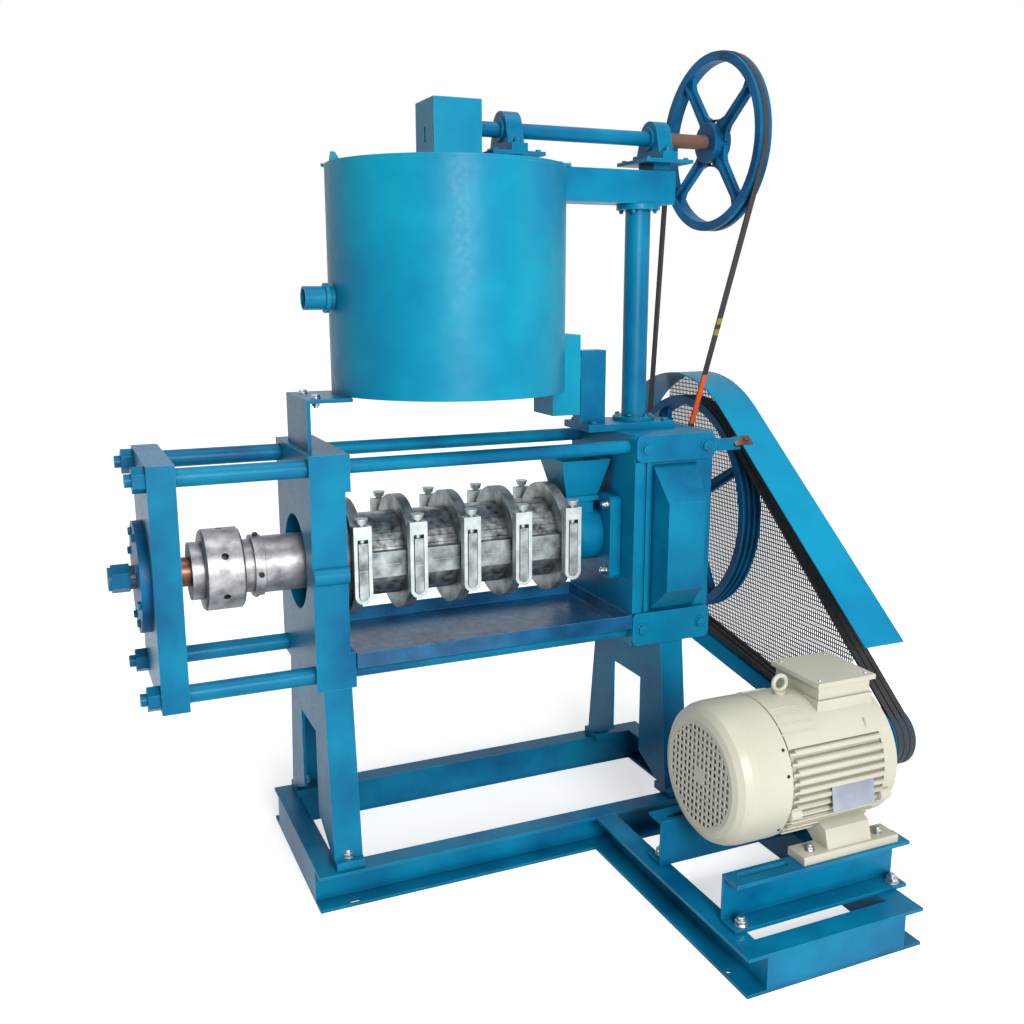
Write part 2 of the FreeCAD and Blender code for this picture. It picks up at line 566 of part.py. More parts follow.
def cage_bars():
    """Lining bars round the worm, each a separate ring sector with an oil gap beside it."""
    inner = size("cage_bar_inner")
    outer = inner + size("cage_bar_depth")
    left = size("middle_frame_x") + size("middle_frame_thick")
    right = size("hoop_first_x") + (size("hoop_count") - 1) * size("hoop_pitch") + size("hoop_thick") / 2
    count = int(size("cage_bar_count"))
    step = 2 * math.pi / count
    bars = []
    for k in range(count):
        middle = (k + 0.5) * step
        corners = []
        for radius in (inner, outer):
            half = step / 2 - size("cage_bar_gap") / 2 / radius
            for turn in (-half, 0, half):
                angle = middle + turn
                corners.append(FreeCAD.Vector(left, radius * math.cos(angle),
                                              size("axis_rise") + radius * math.sin(angle)))
        inner_arc = Part.Arc(*corners[:3]).toShape()
        outer_arc = Part.Arc(*corners[3:]).toShape()
        sides = [Part.LineSegment(corners[2], corners[5]).toShape(),
                 Part.LineSegment(corners[3], corners[0]).toShape()]
        face = Part.Face(Part.Wire(Part.__sortEdges__([inner_arc, outer_arc, *sides])))
        bars.append(face.extrude(FreeCAD.Vector(right - left, 0, 0)))
    feature = doc.addObject("Part::Feature", "cage_bars")
    feature.Shape = Part.makeCompound(bars)
    node("cage_bars", feature)


def cage_clamps():
    """Closed links that hold the hoops' lugs together, each drawn tight by a screw."""
    for label, side in (("front_cage_clamps", -1), ("rear_cage_clamps", 1)):
        pieces = []
        face, back = f"{side}*(hoop_radius + clamp_thick)", f"{side}*hoop_radius"
        span = (face, back) if side < 0 else (back, face)
        for k in range(int(size("hoop_count"))):
            name = f"{label}{k}"
            x = hoop_x(k)
            low, top = "axis_rise - clamp_below", "axis_rise + clamp_above"
            turn = f"{low} + clamp_width/2"
            inside = "clamp_width/2 - clamp_wall"
            outer = [block(f"{name}_outer", (f"{x} - clamp_width/2", f"{x} + clamp_width/2"),
                           span, (turn, top)),
                     rod(f"{name}_round", "Y", span, (x, turn), "clamp_width/2")]
            hole_top = "axis_rise + hoop_lug_half + 10"
            hole = [block(f"{name}_hole", (f"{x} - ({inside})", f"{x} + {inside}"), span, (turn, hole_top)),
                    rod(f"{name}_hole_round", "Y", span, (x, turn), inside)]
            middle = f"{side}*(hoop_radius + clamp_thick/2)"
            tap = rod(f"{name}_tap", "Z", (hole_top, f"{top} + 1"), (x, middle), "clamp_screw")
            pieces.append(cut(f"{name}_link", fuse(f"{name}_body", *outer), *hole, tap))
            screw = rod(f"{name}_screw", "Z", ("axis_rise + hoop_lug_half", f"{top} + 6"), (x, middle),
                        "clamp_screw")
            head = taper(f"{name}_head", "Z", (f"{top} + 6", f"{top} + 6 + clamp_head_rise"), (x, middle),
                         ("clamp_head*0.75", "clamp_head"))
            pieces.append(fuse(f"{name}_bolt", screw, head))
        node(label, group(label, *pieces))


# ---- feed end ------------------------------------------------------------------------------
def feed_housing():
    neck_top = "axis_rise + feed_neck_top"
    left_flange = f"{FEED_FACE} + 18"
    solids = [
        rod("feed_cage_flange", "X", (FEED_FACE, left_flange), ("0", "axis_rise"), "feed_end_radius"),
        rod("feed_tube", "X", (left_flange, "feed_flange_x"), ("0", "axis_rise"), "feed_radius"),
        rounded_plate("feed_plate", "X", ("feed_flange_x", "feed_flange_x + feed_flange_thick"),
                      ("-feed_flange/2", "feed_flange/2"),
                      ("axis_rise - feed_flange/2", "axis_rise + feed_flange/2"), "16"),
        block("feed_neck", ("feed_x - feed_neck/2 + 6", "feed_x + feed_neck/2 - 6"),
              ("-feed_neck/2", "feed_neck/2"), ("axis_rise", neck_top))]
    chamber = rod("feed_chamber", "X", (f"{FEED_FACE} - 1", "feed_flange_x + 12"), ("0", "axis_rise"),
                  "cage_bar_inner + 1")
    passage = rod("feed_passage", "X", ("feed_flange_x", "gearbox_x + 1"), ("0", "axis_rise"),
                  "shaft_gear_seat + 1.5")
    throat = block("feed_throat", ("feed_x - feed_neck/2 + 16", "feed_x + feed_neck/2 - 16"),
                   ("-feed_neck/2 + 10", "feed_neck/2 - 10"), ("axis_rise", f"{neck_top} + 1"))
    node("feed_housing", cut("feed_housing", fuse("feed_cast", *solids), chamber, passage, throat))


def feed_hopper():
    low = "axis_rise + feed_neck_top"
    shelf = f"{low} + hopper_flange"
    owner = body("feed_hopper")
    flange = sketch_on(owner, "hopper_flange_outline", "XY_Plane", low)
    square(flange, "hopper_low/2 + 5")
    pad(owner, "hopper_flange_pad", flange, "hopper_flange")
    for name, kind, lift, inset in (("outer", "AdditiveLoft", shelf, "0"),
                                    ("inner", "SubtractiveLoft", shelf, "hopper_sheet")):
        bottom = sketch_on(owner, f"hopper_{name}_low", "XY_Plane", lift)
        square(bottom, f"hopper_low/2 - {inset}")
        top = sketch_on(owner, f"hopper_{name}_high", "XY_Plane", f"{shelf} + hopper_rise")
        square(top, f"hopper_high/2 - {inset}")
        loft = owner.newObject(f"PartDesign::{kind}", f"hopper_{name}")
        loft.Profile = bottom
        loft.Sections = [top]
        loft.Ruled = True
        if kind == "SubtractiveLoft":
            CUTS.append(loft)
    throat = sketch_on(owner, "hopper_throat", "XY_Plane", f"{low} - 1")
    square(throat, "feed_neck/2 - 16")
    pocket(owner, "hopper_throat_cut", throat, "hopper_flange + 2")
    place(owner, "feed_x")
    node("feed_hopper", owner)


def square(outline, half):
    return draw(outline, [(f"-({half})", f"-({half})"), (half, f"-({half})"), (half, half),
                          (f"-({half})", half)])


# ---- gearbox -------------------------------------------------------------------------------
GEAR_LEFT = "gear_left"
GEAR_RIGHT = "gear_left + gear_face"
GEARBOX_RIGHT = "gearbox_x + gearbox_length"
PINION_Y = "gear_module*(bull_teeth + pinion_teeth)/2"
PINION_AT = (PINION_Y, "axis_rise")
WORM_AT = ("0", "axis_rise")
LEFT_SEAT = "gearbox_x + 20"
RIGHT_SEAT_END = "gearbox_x + gearbox_length - 34"


def gearbox_housing():
    half = "frame_width/2"
    rear, mid = f"{half} + gearbox_rear_reach", f"{half} + gearbox_rear_reach - 64"
    low, high = "axis_rise - gearbox_rear_half", "axis_rise + gearbox_rear_half"
    case = extrusion("gearbox_case", "YZ", ("gearbox_x", GEARBOX_RIGHT), [
        (f"-{half}", "frame_low"), (half, "frame_low"), (half, low), (mid, low), (rear, f"{low} + 64"),
        (rear, f"{high} - 64"), (mid, high), (half, high), (half, "frame_high"), (f"-{half}", "frame_high")])
    ribs = [block(f"gearbox_rib{k}", (f"gearbox_x + {left}", f"gearbox_x + {right}"),
                  (f"-{half} - rib_out", f"-{half}"),
                  ("frame_low + gearbox_low_band", "frame_high - gearbox_top_band"))
            for k, (left, right) in enumerate(((0, 28), (38, 50)))]
    sump = (f"{GEAR_LEFT} - gear_gap", f"{GEAR_RIGHT} + gear_gap")
    worm_seat, pinion_seat = "shaft_gear_seat + bearing_ring", "pinion_shaft_radius + bearing_ring"
    tools = [
        rod("sump_bull", "X", sump, WORM_AT, "gear_module*(bull_teeth/2 + 1) + gear_gap"),
        rod("sump_pinion", "X", sump, PINION_AT, "gear_module*(pinion_teeth/2 + 1) + gear_gap"),
        rod("seat_worm_left", "X", (LEFT_SEAT, f"{GEAR_LEFT} - gear_gap"), WORM_AT, worm_seat),
        rod("seat_worm_right", "X", (f"{GEAR_RIGHT} + gear_gap", RIGHT_SEAT_END), WORM_AT, worm_seat),
        rod("pass_worm", "X", ("gearbox_x - 1", LEFT_SEAT), WORM_AT, "shaft_gear_seat + 1.5"),
        rod("seat_pinion_left", "X", (LEFT_SEAT, f"{GEAR_LEFT} - gear_gap"), PINION_AT, pinion_seat),
        rod("seat_pinion_right", "X", (f"{GEAR_RIGHT} + gear_gap", RIGHT_SEAT_END), PINION_AT,
            pinion_seat),
        rod("pass_pinion", "X", (RIGHT_SEAT_END, f"{GEARBOX_RIGHT} + 1"), PINION_AT,
            "pinion_shaft_radius + 1.5")]
    sockets = [rod(f"socket_{name}", "X", ("gearbox_x - 1", "gearbox_x + rod_socket"), rod_centre(sides),
                   "tie_rod_end") for name, sides in ROD_PLACES.items()]
    node("gearbox_housing", cut("gearbox_housing", fuse("gearbox_cast", case, *ribs), *tools, *sockets))


def gearbox_bands():
    half = "frame_width/2"
    plates = [rounded_plate(f"band{k}", "Y", (f"-{half} - band_thick", f"-{half}"),
                            ("gearbox_x", GEARBOX_RIGHT), levels, "band_corner")
              for k, levels in enumerate((("frame_high - gearbox_top_band", "frame_high"),
                                          ("frame_low", "frame_low + gearbox_low_band")))]
    node("gearbox_bands", group("gearbox_bands", *plates))


def gearbox_front_cover():
    """A bevelled cover over the part of the bull gear that stands out of the case."""
    owner = body("gearbox_front_cover")
    left = "gearbox_x + cover_left"
    root, front = "frame_width/2", "frame_width/2 + cover_reach"
    for name, kind, sheet_inset in (("outer", "AdditiveLoft", "0"),
                                    ("inner", "SubtractiveLoft", "cover_sheet")):
        foot = sketch_on(owner, f"cover_{name}_root", "XZ_Plane", root)
        box_outline(foot, (f"{left} + {sheet_inset}", f"{left} + cover_width - {sheet_inset}"),
                    (f"axis_rise - cover_root_low + {sheet_inset}",
                     f"axis_rise + cover_root_high - {sheet_inset}"))
        face = sketch_on(owner, f"cover_{name}_face", "XZ_Plane", f"{front} - {sheet_inset}")
        box_outline(face, (f"{left} + {sheet_inset}", f"{left} + cover_front_width - {sheet_inset}"),
                    (f"axis_rise - cover_front_half + {sheet_inset}",
                     f"axis_rise + cover_front_half - {sheet_inset}"))
        loft = owner.newObject(f"PartDesign::{kind}", f"cover_{name}")
        loft.Profile = foot
        loft.Sections = [face]
        loft.Ruled = True
        if kind == "SubtractiveLoft":
            CUTS.append(loft)
    node("gearbox_front_cover", owner)


def box_outline(outline, across, up):
    return draw(outline, [(across[0], up[0]), (across[1], up[0]), (across[1], up[1]), (across[0], up[1])])


def gearbox_top_plate():
    node("gearbox_top_plate", block(
        "gearbox_top_plate", ("gearbox_x - top_plate_overhang", "gearbox_x + top_plate_right"),
        ("-top_plate_width/2", "top_plate_width/2"), ("frame_high", "frame_high + top_plate_thick")))


def input_bearing_housing():
    right = f"{GEARBOX_RIGHT} + input_housing_reach"
    drum = rod("input_drum", "X", (GEARBOX_RIGHT, f"{right} - 8"), PINION_AT, "input_housing_radius")
    lip = taper("input_lip", "X", (f"{right} - 8", right), PINION_AT,
                ("input_housing_radius", "input_housing_radius - 8"))
    seat = rod("input_seat", "X", (f"{GEARBOX_RIGHT} + 12", f"{GEARBOX_RIGHT} + 12 + bearing_width"),
               PINION_AT, "pinion_shaft_radius + bearing_ring - 8")
    eye = rod("input_eye", "X", (f"{GEARBOX_RIGHT} - 1", f"{right} + 1"), PINION_AT,
              "pinion_shaft_radius + 1.5")
    node("input_bearing_housing", cut("input_bearing_housing", fuse("input_cast", drum, lip), seat, eye))


def shaft_bearings():
    worm = "shaft_gear_seat"
    pinion = "pinion_shaft_radius"
    places = [
        ("worm_left", (LEFT_SEAT, f"{LEFT_SEAT} + bearing_width"), WORM_AT, worm, "bearing_ring"),
        ("worm_right", (f"{RIGHT_SEAT_END} - bearing_width", RIGHT_SEAT_END), WORM_AT, worm, "bearing_ring"),
        ("worm_end", ("end_plate_x", "end_plate_x + end_plate_thick"), WORM_AT, "shaft_journal",
         "bearing_ring"),
        ("pinion_left", (LEFT_SEAT, f"{LEFT_SEAT} + bearing_width"), PINION_AT, pinion, "bearing_ring"),
        ("pinion_right", (f"{RIGHT_SEAT_END} - bearing_width", RIGHT_SEAT_END), PINION_AT, pinion,
         "bearing_ring"),
        ("input", (f"{GEARBOX_RIGHT} + 12", f"{GEARBOX_RIGHT} + 12 + bearing_width"), PINION_AT, pinion,
         "bearing_ring - 8")]
    rings = [cut(f"bearing_{name}", rod(f"bearing_{name}_outer", "X", span, centre, f"{inner} + {ring}"),
                 rod(f"bearing_{name}_bore", "X", (f"{span[0]} - 1", f"{span[1]} + 1"), centre,
                     f"{inner} + running_fit"))
             for name, span, centre, inner, ring in places]
    node("shaft_bearings", group("shaft_bearings", *rings))


def gear(label, teeth, centre, bore, span):
    """A spur gear with straight flanks: root disc, one tooth and its pattern round the axis."""
    owner = body(label)
    start, end = span
    root = f"gear_module*({teeth}/2 - 1.25)"
    disc = sketch_on(owner, f"{label}_disc", "YZ_Plane", start)
    for radius in (root, bore):
        ring = disc.addGeometry(Part.Circle(FreeCAD.Vector(), FreeCAD.Vector(0, 0, 1),
                                            5 if radius == bore else 9),
                                False)
        disc.addConstraint(Sketcher.Constraint("Coincident", ring, 3, -1, 1))
        dimension(disc, "Radius", radius, ring, 5 if radius == bore else 9)
    pad(owner, f"{label}_root", disc, f"({end}) - ({start})")
    tooth = sketch_on(owner, f"{label}_tooth", "YZ_Plane", start)
    tip = f"gear_module*({teeth}/2 + 1)"
    wide, thin = "tooth_half + 1.25*gear_module*tooth_slope", "tooth_half - gear_module*tooth_slope"
    draw(tooth, [(f"{root} - 2", f"-({wide})"), (root, f"-({wide})"), (tip, f"-({thin})"), (tip, thin),
                 (root, wide), (f"{root} - 2", wide)])
    first = pad(owner, f"{label}_one_tooth", tooth, f"({end}) - ({start})")
    polar(owner, f"{label}_teeth", [first], "X", teeth)
    return place(owner, "0", *centre)


# ---- worm shaft, press worm and choke ------------------------------------------------------
def worm_shaft():
    owner = body("worm_shaft_bar")
    revolve(owner, "worm_shaft_turned", [
        ("shaft_end_x", "0"), ("shaft_end_x", "shaft_journal"), (END_RIGHT, "shaft_journal"),
        (END_RIGHT, "shaft_radius"), ("feed_flange_x + 12", "shaft_radius"),
        ("feed_flange_x + 12", "shaft_gear_seat"), (f"{RIGHT_SEAT_END} - 4", "shaft_gear_seat"),
        (f"{RIGHT_SEAT_END} - 4", "0")], "X")
    place(owner, "0", *WORM_AT)
    right = "end_plate_x - end_cover_thick - shaft_nut_off"
    span = (f"{right} - shaft_nut_thick", right)
    nut = cut("shaft_nut", hexagon("shaft_nut_hex", "X", span, WORM_AT, "shaft_nut_size"),
              rod("shaft_nut_bore", "X", span, WORM_AT, "shaft_journal + seat_gap"))
    node("worm_shaft", group("worm_shaft", owner, nut))


END_RIGHT = "end_plate_x + end_plate_thick"


def press_worm():
    """The pressing worm: a hub that grows toward the discharge end, with a helical flight."""
    owner = body("press_worm")
    right = "feed_flange_x + 10"
    flat = f"{FEED_FACE} - 40"
    revolve(owner, "worm_hub", [
        ("worm_left", "shaft_radius"), ("worm_left", "worm_root_press"),
        ("worm_left + 60", "worm_root_press"), (flat, "worm_root_feed"), (right, "worm_root_feed"),
        (right, "shaft_radius")], "X")
    flight = draw(sketch_on(owner, "flight_outline", "XZ_Plane"), [
        ("worm_left + 8", "worm_root_feed - 4"), ("worm_left + 20", "worm_root_feed - 4"),
        ("worm_left + 17", "worm_outer"), ("worm_left + 11", "worm_outer")])
    helix = owner.newObject("PartDesign::AdditiveHelix", "flight")
    helix.Profile = flight
    helix.ReferenceAxis = (flight, ["H_Axis"])
    helix.Mode = "pitch-height-angle"
    helix.setExpression("Pitch", bound("worm_pitch_feed"))
    helix.setExpression("Height", bound("worm_pitch_feed*worm_turns"))
    owner.Tip = helix
    place(owner, "0", *WORM_AT)
    node("press_worm", owner)


def choke():
    sleeve = body("choke_sleeve")
    tip = "middle_frame_x + middle_frame_thick + 1"
    bore = "shaft_radius + choke_fit"
    revolve(sleeve, "choke_sleeve_turned", [
        (CHOKE_FACE, bore), (CHOKE_FACE, "choke_neck_radius"), ("choke_sleeve_x", "choke_neck_radius"),
        ("choke_sleeve_x", "choke_collar_radius"), ("choke_sleeve_x + choke_collar", "choke_collar_radius"),
        ("choke_sleeve_x + choke_collar", "choke_sleeve_radius"),
        (f"{tip} - choke_tip", "choke_sleeve_radius"),
        (tip, "choke_tip_radius"), (tip, bore)], "X")
    place(sleeve, "0", *WORM_AT)
    node("choke_sleeve", sleeve)
    owner = body("choke_nut")
    right = f"{CHOKE_FACE} - 0.3"
    revolve(owner, "choke_nut_turned", [
        ("choke_ring_x", bore), ("choke_ring_x", "choke_sleeve_radius"),
        ("choke_nut_x", "choke_sleeve_radius"), ("choke_nut_x", "choke_nut_radius - 5"),
        ("choke_nut_x + 5", "choke_nut_radius"), (f"{right} - 5", "choke_nut_radius"),
        (right, "choke_nut_radius - 5"), (right, bore)], "X")
    hole = sketch_on(owner, "tommy_hole", "XY_Plane", "choke_nut_radius - 34")
    ring = hole.addGeometry(Part.Circle(FreeCAD.Vector(-790, 0, 0), FreeCAD.Vector(0, 0, 1), 9), False)
    dimension(hole, "DistanceX", "choke_nut_x + choke_nut_length/2", -1, 1, ring, 3, -790)
    hole.addConstraint(Sketcher.Constraint("PointOnObject", ring, 3, -1))
    dimension(hole, "Radius", "choke_hole", ring, 9)
    first = pocket(owner, "tommy_cut", hole, "40")
    polar(owner, "tommy_cuts", [first], "X", "choke_hole_count")
    place(owner, "0", *WORM_AT)
    node("choke_nut", owner)


CHOKE_FACE = "choke_nut_x + choke_nut_length"


def oil_tray():
    floor = "axis_rise - tie_rod_z + tie_rod_right"
    half = "tray_depth/2"
    outer = block("tray_outer", ("tray_left", "gearbox_x"), (f"-{half}", half),
                  (floor, f"{floor} + tray_rim"))
    inner = block("tray_inner", ("tray_left + tray_sheet", "gearbox_x - tray_sheet"),
                  (f"-{half} + tray_sheet", f"{half} - tray_sheet"),
                  (f"{floor} + tray_sheet", f"{floor} + tray_rim + 1"))
    node("oil_tray", cut("oil_tray", outer, inner))


# ---- kettle --------------------------------------------------------------------------------
KETTLE_AT = ("kettle_x", "0")
LID_LOW = "kettle_high - kettle_lid"


def kettle_shell():
    owner = body("kettle_drum")
    revolve(owner, "kettle_drum_turned", [
        ("0", "kettle_low"), ("kettle_radius", "kettle_low"), ("kettle_radius", LID_LOW),
        ("kettle_radius - kettle_wall", LID_LOW),
        ("kettle_radius - kettle_wall", "kettle_low + kettle_bottom"),
        ("0", "kettle_low + kettle_bottom")], "Z")
    place(owner, "kettle_x")
    wall = "kettle_x - kettle_radius"
    end = f"{wall} - pipe_reach - pipe_flange"
    at = ("0", "pipe_z")
    stub = rod("pipe_stub", "X", (end, f"{wall} + 5"), at, "pipe_radius")
    collar = rod("pipe_collar", "X", (f"{wall} - 22", f"{wall} - 22 + pipe_flange"), at, "pipe_flange_radius")
    shell = fuse("kettle_weld", owner, stub, collar)
    gate = block("gate_opening", ("kettle_x + kettle_radius - 60", "kettle_x + kettle_radius + 5"),
                 ("-gate_opening_half", "gate_opening_half"),
                 ("kettle_low + gate_opening_low", "kettle_low + gate_opening_low + gate_opening_rise"))
    bore = rod("pipe_bore", "X", (f"{end} - 1", f"{wall} + 40"), at, "pipe_radius - pipe_wall")
    node("kettle_shell", cut("kettle_shell", shell, gate, bore))


def kettle_lid():
    disc = rod("lid_disc", "Z", (LID_LOW, "kettle_high"), KETTLE_AT, "kettle_radius")
    lugs = [extrusion(f"lid_lug{side}", "XZ", ("-4", "4"), [
        (f"kettle_x + {side}*(kettle_radius - 4)", "kettle_high"),
        (f"kettle_x + {side}*(kettle_radius - 8)", "kettle_high + 24"),
        (f"kettle_x + {side}*(kettle_radius - 18)", "kettle_high + 24"),
        (f"kettle_x + {side}*(kettle_radius - 34)", "kettle_high")]) for side in (-1, 1)]
    hole = rod("lid_hole", "Z", (f"{LID_LOW} - 1", "kettle_high + 1"), KETTLE_AT,
               "stirrer_radius + running_fit")
    node("kettle_lid", cut("kettle_lid", fuse("lid_weld", disc, *lugs), hole))


def kettle_supports():
    half = "support_width/2"
    left = "middle_frame_x + 18"
    wall = block("left_support_wall", (left, f"{left} + support_plate"), (f"-{half}", half),
                 ("frame_high", "kettle_low - support_plate"))
    shelf = block("left_support_shelf", (left, f"{left} + support_arm"), (f"-{half}", half),
                  ("kettle_low - support_plate", "kettle_low"))
    node("left_kettle_support", fuse("left_kettle_support", wall, shelf))
    post_left = "gearbox_x - top_plate_overhang"
    depth = "support_post_depth/2"
    low = "frame_high + top_plate_thick"
    post = block("right_post", (post_left, f"{post_left} + support_post_width"), (f"-{depth}", depth),
                 (low, f"{low} + support_post_rise - 20"))
    spacer = block("right_spacer", ("kettle_x + duct_out", post_left), (f"-{depth}", depth),
                   ("kettle_low + 20", "kettle_low + 80"))
    node("right_kettle_support", fuse("right_kettle_support", post, spacer))


def discharge_duct():
    """A boxed duct over the kettle's outlet that turns the flow down into the feed hopper."""
    right = "kettle_x + duct_out"
    high = "kettle_low - duct_low + duct_rise"
    low = "kettle_low - support_beam_rise"
    box = block("duct_box", ("kettle_x + 200", right), ("-duct_half", "duct_half"), ("kettle_low", high))
    chute = block("duct_chute", ("support_beam_left", right), ("-duct_half", "duct_half"),
                  (low, "kettle_low"))
    hollow = block("duct_hollow", ("kettle_x + 200", f"{right} - duct_sheet"),
                   ("-duct_half + duct_sheet", "duct_half - duct_sheet"),
                   ("kettle_low - 1", f"{high} - duct_sheet"))
    throat = block("duct_throat", ("support_beam_left + duct_sheet", f"{right} - duct_sheet"),
                   ("-duct_half + duct_sheet", "duct_half - duct_sheet"), (f"{low} - 1", "kettle_low"))
    drum = rod("duct_drum", "Z", ("kettle_low", f"{high} + 1"), KETTLE_AT, "kettle_radius")
    rod_hole = rod("duct_rod_hole", "Z", (f"{high} - 10", f"{high} + 1"), GATE_AT, "gate_rod + 0.3")
    welded = fuse("duct_weld", box, chute)
    node("discharge_duct", cut("discharge_duct", welded, hollow, throat, drum, rod_hole))


GATE_AT = ("kettle_x + kettle_radius + 18", "0")


def kettle_gate():
    """A sliding plate over the kettle's outlet, lifted by a rod with a knob above the duct."""
    base = "kettle_low + gate_opening_low - gate_lap"
    top = f"{base} + gate_opening_rise + 2*gate_lap"
    half = "gate_opening_half + gate_lap"
    left = "kettle_x + kettle_radius + 3"
    plate = block("gate_plate", (left, f"{left} + gate_thick"), (f"-({half})", half), (base, top))
    lug = block("gate_lug", (f"{left} + gate_thick", f"{GATE_AT[0]} + gate_rod"), ("-gate_rod", "gate_rod"),
                (f"{top} - 14", f"{top} - 4"))
    above = "kettle_low - duct_low + duct_rise + 40"
    stem = rod("gate_stem", "Z", (f"{top} - 14", above), GATE_AT, "gate_rod")
    knob = doc.addObject("Part::Sphere", "gate_knob")
    knob.setExpression("Radius", bound("gate_knob"))
    place(knob, GATE_AT[0], "0", f"{above} + gate_knob - 3")
    node("kettle_gate", fuse("kettle_gate", plate, lug, stem, knob))


# ---- kettle drive --------------------------------------------------------------------------
DRIVE_AT = ("0", "drive_rise")


def kettle_gear_housing():
    half, inside = "gear_box_half", "gear_box_half - gear_box_wall"
    left, right = "kettle_x - gear_box_left", "kettle_x + gear_box_right"
    top = "kettle_high + gear_box_rise"
    case = block("gear_case", (left, right), (f"-{half}", half), ("kettle_high", top))
    hollow = block("gear_hollow", (f"{left} + gear_box_wall", f"{right} - gear_box_wall"),
                   (f"-({inside})", inside), ("kettle_high - 1", f"{top} - gear_box_wall"))
    pass_hole = rod("gear_pass", "X", ("kettle_x", f"{right} + 1"), DRIVE_AT, "kettle_shaft_radius + 0.5")
    slot_cut = block("gear_slot", (f"{left} - 1", f"{left} + gear_box_wall + 1"), ("-6", "6"),
                     ("drive_rise - 42", "drive_rise - 4"))
    node("kettle_gear_housing", cut("kettle_gear_housing", case, hollow, pass_hole, slot_cut))


def pillow_block(label, x, seat):
    """A plummer block on a riser: foot, shoulders and a round cap bored for the shaft."""
    low = "drive_rise - pillow_axis"
    thick = ("{0} - pillow_thick/2".format(x), "{0} + pillow_thick/2".format(x))
    half = "pillow_length/2"
    profile = extrusion(f"{label}_profile", "YZ", thick, [
        (f"-({half})", low), (half, low), (half, f"{low} + pillow_foot"),
        ("pillow_half + 14", f"{low} + pillow_foot"), ("pillow_half", "drive_rise"),
        ("-pillow_half", "drive_rise"), ("-pillow_half - 14", f"{low} + pillow_foot"),
        (f"-({half})", f"{low} + pillow_foot")])
    cap = rod(f"{label}_cap", "X", thick, DRIVE_AT, "pillow_half")
    collar = rod(f"{label}_collar", "X", (f"{thick[0]} - 6", f"{thick[1]} + 6"), DRIVE_AT,
                 "kettle_shaft_radius + 12")
    plate = block(f"{label}_seat", (f"{x} - seat_plate_length/2", f"{x} + seat_plate_length/2"),
                  (f"-({half})", half), (f"{low} - seat_plate_thick", low))
    riser = block(f"{label}_riser", (f"{x} - pillow_thick/2 - 4", f"{x} + pillow_thick/2 + 4"),
                  (f"-({half})*0.5", f"({half})*0.5"), (seat, f"{low} - seat_plate_thick"))
    bore = rod(f"{label}_bore", "X", (f"{thick[0]} - 7", f"{thick[1]} + 7"), DRIVE_AT,
               "kettle_shaft_radius + running_fit")
    node(label, cut(label, fuse(f"{label}_cast", profile, cap, collar, plate, riser), bore))


def bearing_arm():
    half = "arm_width/2"
    low, high = "arm_low", "arm_low + arm_rise"
    inner_low, inner_high = f"{low} + arm_flange_thick", f"{high} - arm_flange_thick"
    arm = extrusion("arm_section", "YZ", ("kettle_x + 200", "arm_right"), [
        (f"-{half}", low), (half, low), (half, inner_low), (f"-{half} + arm_web", inner_low),
        (f"-{half} + arm_web", inner_high), (half, inner_high), (half, high), (f"-{half}", high)])
    drum = rod("arm_drum", "Z", (f"{low} - 1", f"{high} + 1"), KETTLE_AT, "kettle_radius")
    node("bearing_arm", cut("bearing_arm", arm, drum))


def column():
    at = ("column_x", "0")
    low, high = "frame_high + top_plate_thick", "arm_low"
    pipe = rod("column_pipe", "Z", (low, high), at, "column_radius")
    foot = rod("column_foot", "Z", (low, f"{low} + 12"), at, "column_flange")
    head = rod("column_head", "Z", (f"{high} - column_flange_thick", high), at, "column_flange")
    bore = rod("column_bore", "Z", (f"{low} - 1", f"{high} + 1"), at, "column_radius - column_wall")
    node("column", cut("column", fuse("column_weld", pipe, foot, head), bore))


def kettle_drive_shaft():
    owner = body("kettle_drive_shaft")
    revolve(owner, "kettle_drive_turned", [
        ("kettle_x + 2*bevel_pinion_radius", "0"),
        ("kettle_x + 2*bevel_pinion_radius", "kettle_shaft_radius"),
        ("kettle_shaft_end - 2", "kettle_shaft_radius"), ("kettle_shaft_end", "kettle_shaft_radius - 2"),
        ("kettle_shaft_end", "0")], "X")
    place(owner, "0", *DRIVE_AT)
    node("kettle_drive_shaft", owner)


def bevel_gears():
    """Two bevel wheels, 2 to 1, whose pitch cones meet on the crossing of the two axes."""
    back = "kettle_x + 2*bevel_pinion_radius"
    node("bevel_pinion", taper("bevel_pinion", "X", ("kettle_x + bevel_inner*2*bevel_pinion_radius", back),
                               DRIVE_AT, ("bevel_inner*bevel_pinion_radius - bevel_gap",
                                          "bevel_pinion_radius - bevel_gap")))
    low = "drive_rise - bevel_pinion_radius"
    wheel = taper("bevel_wheel", "Z", (low, "drive_rise - bevel_inner*bevel_pinion_radius"), KETTLE_AT,
                  ("2*bevel_pinion_radius - 2*bevel_gap", "2*bevel_inner*bevel_pinion_radius - 2*bevel_gap"))
    hub = rod("bevel_hub", "Z", (f"{low} - 16", low), KETTLE_AT, "bevel_pinion_radius*1.5")
    bore = rod("bevel_bore", "Z", (f"{low} - 17", "drive_rise"), KETTLE_AT, "stirrer_radius")
    node("bevel_gear", cut("bevel_gear", fuse("bevel_cast", wheel, hub), bore))


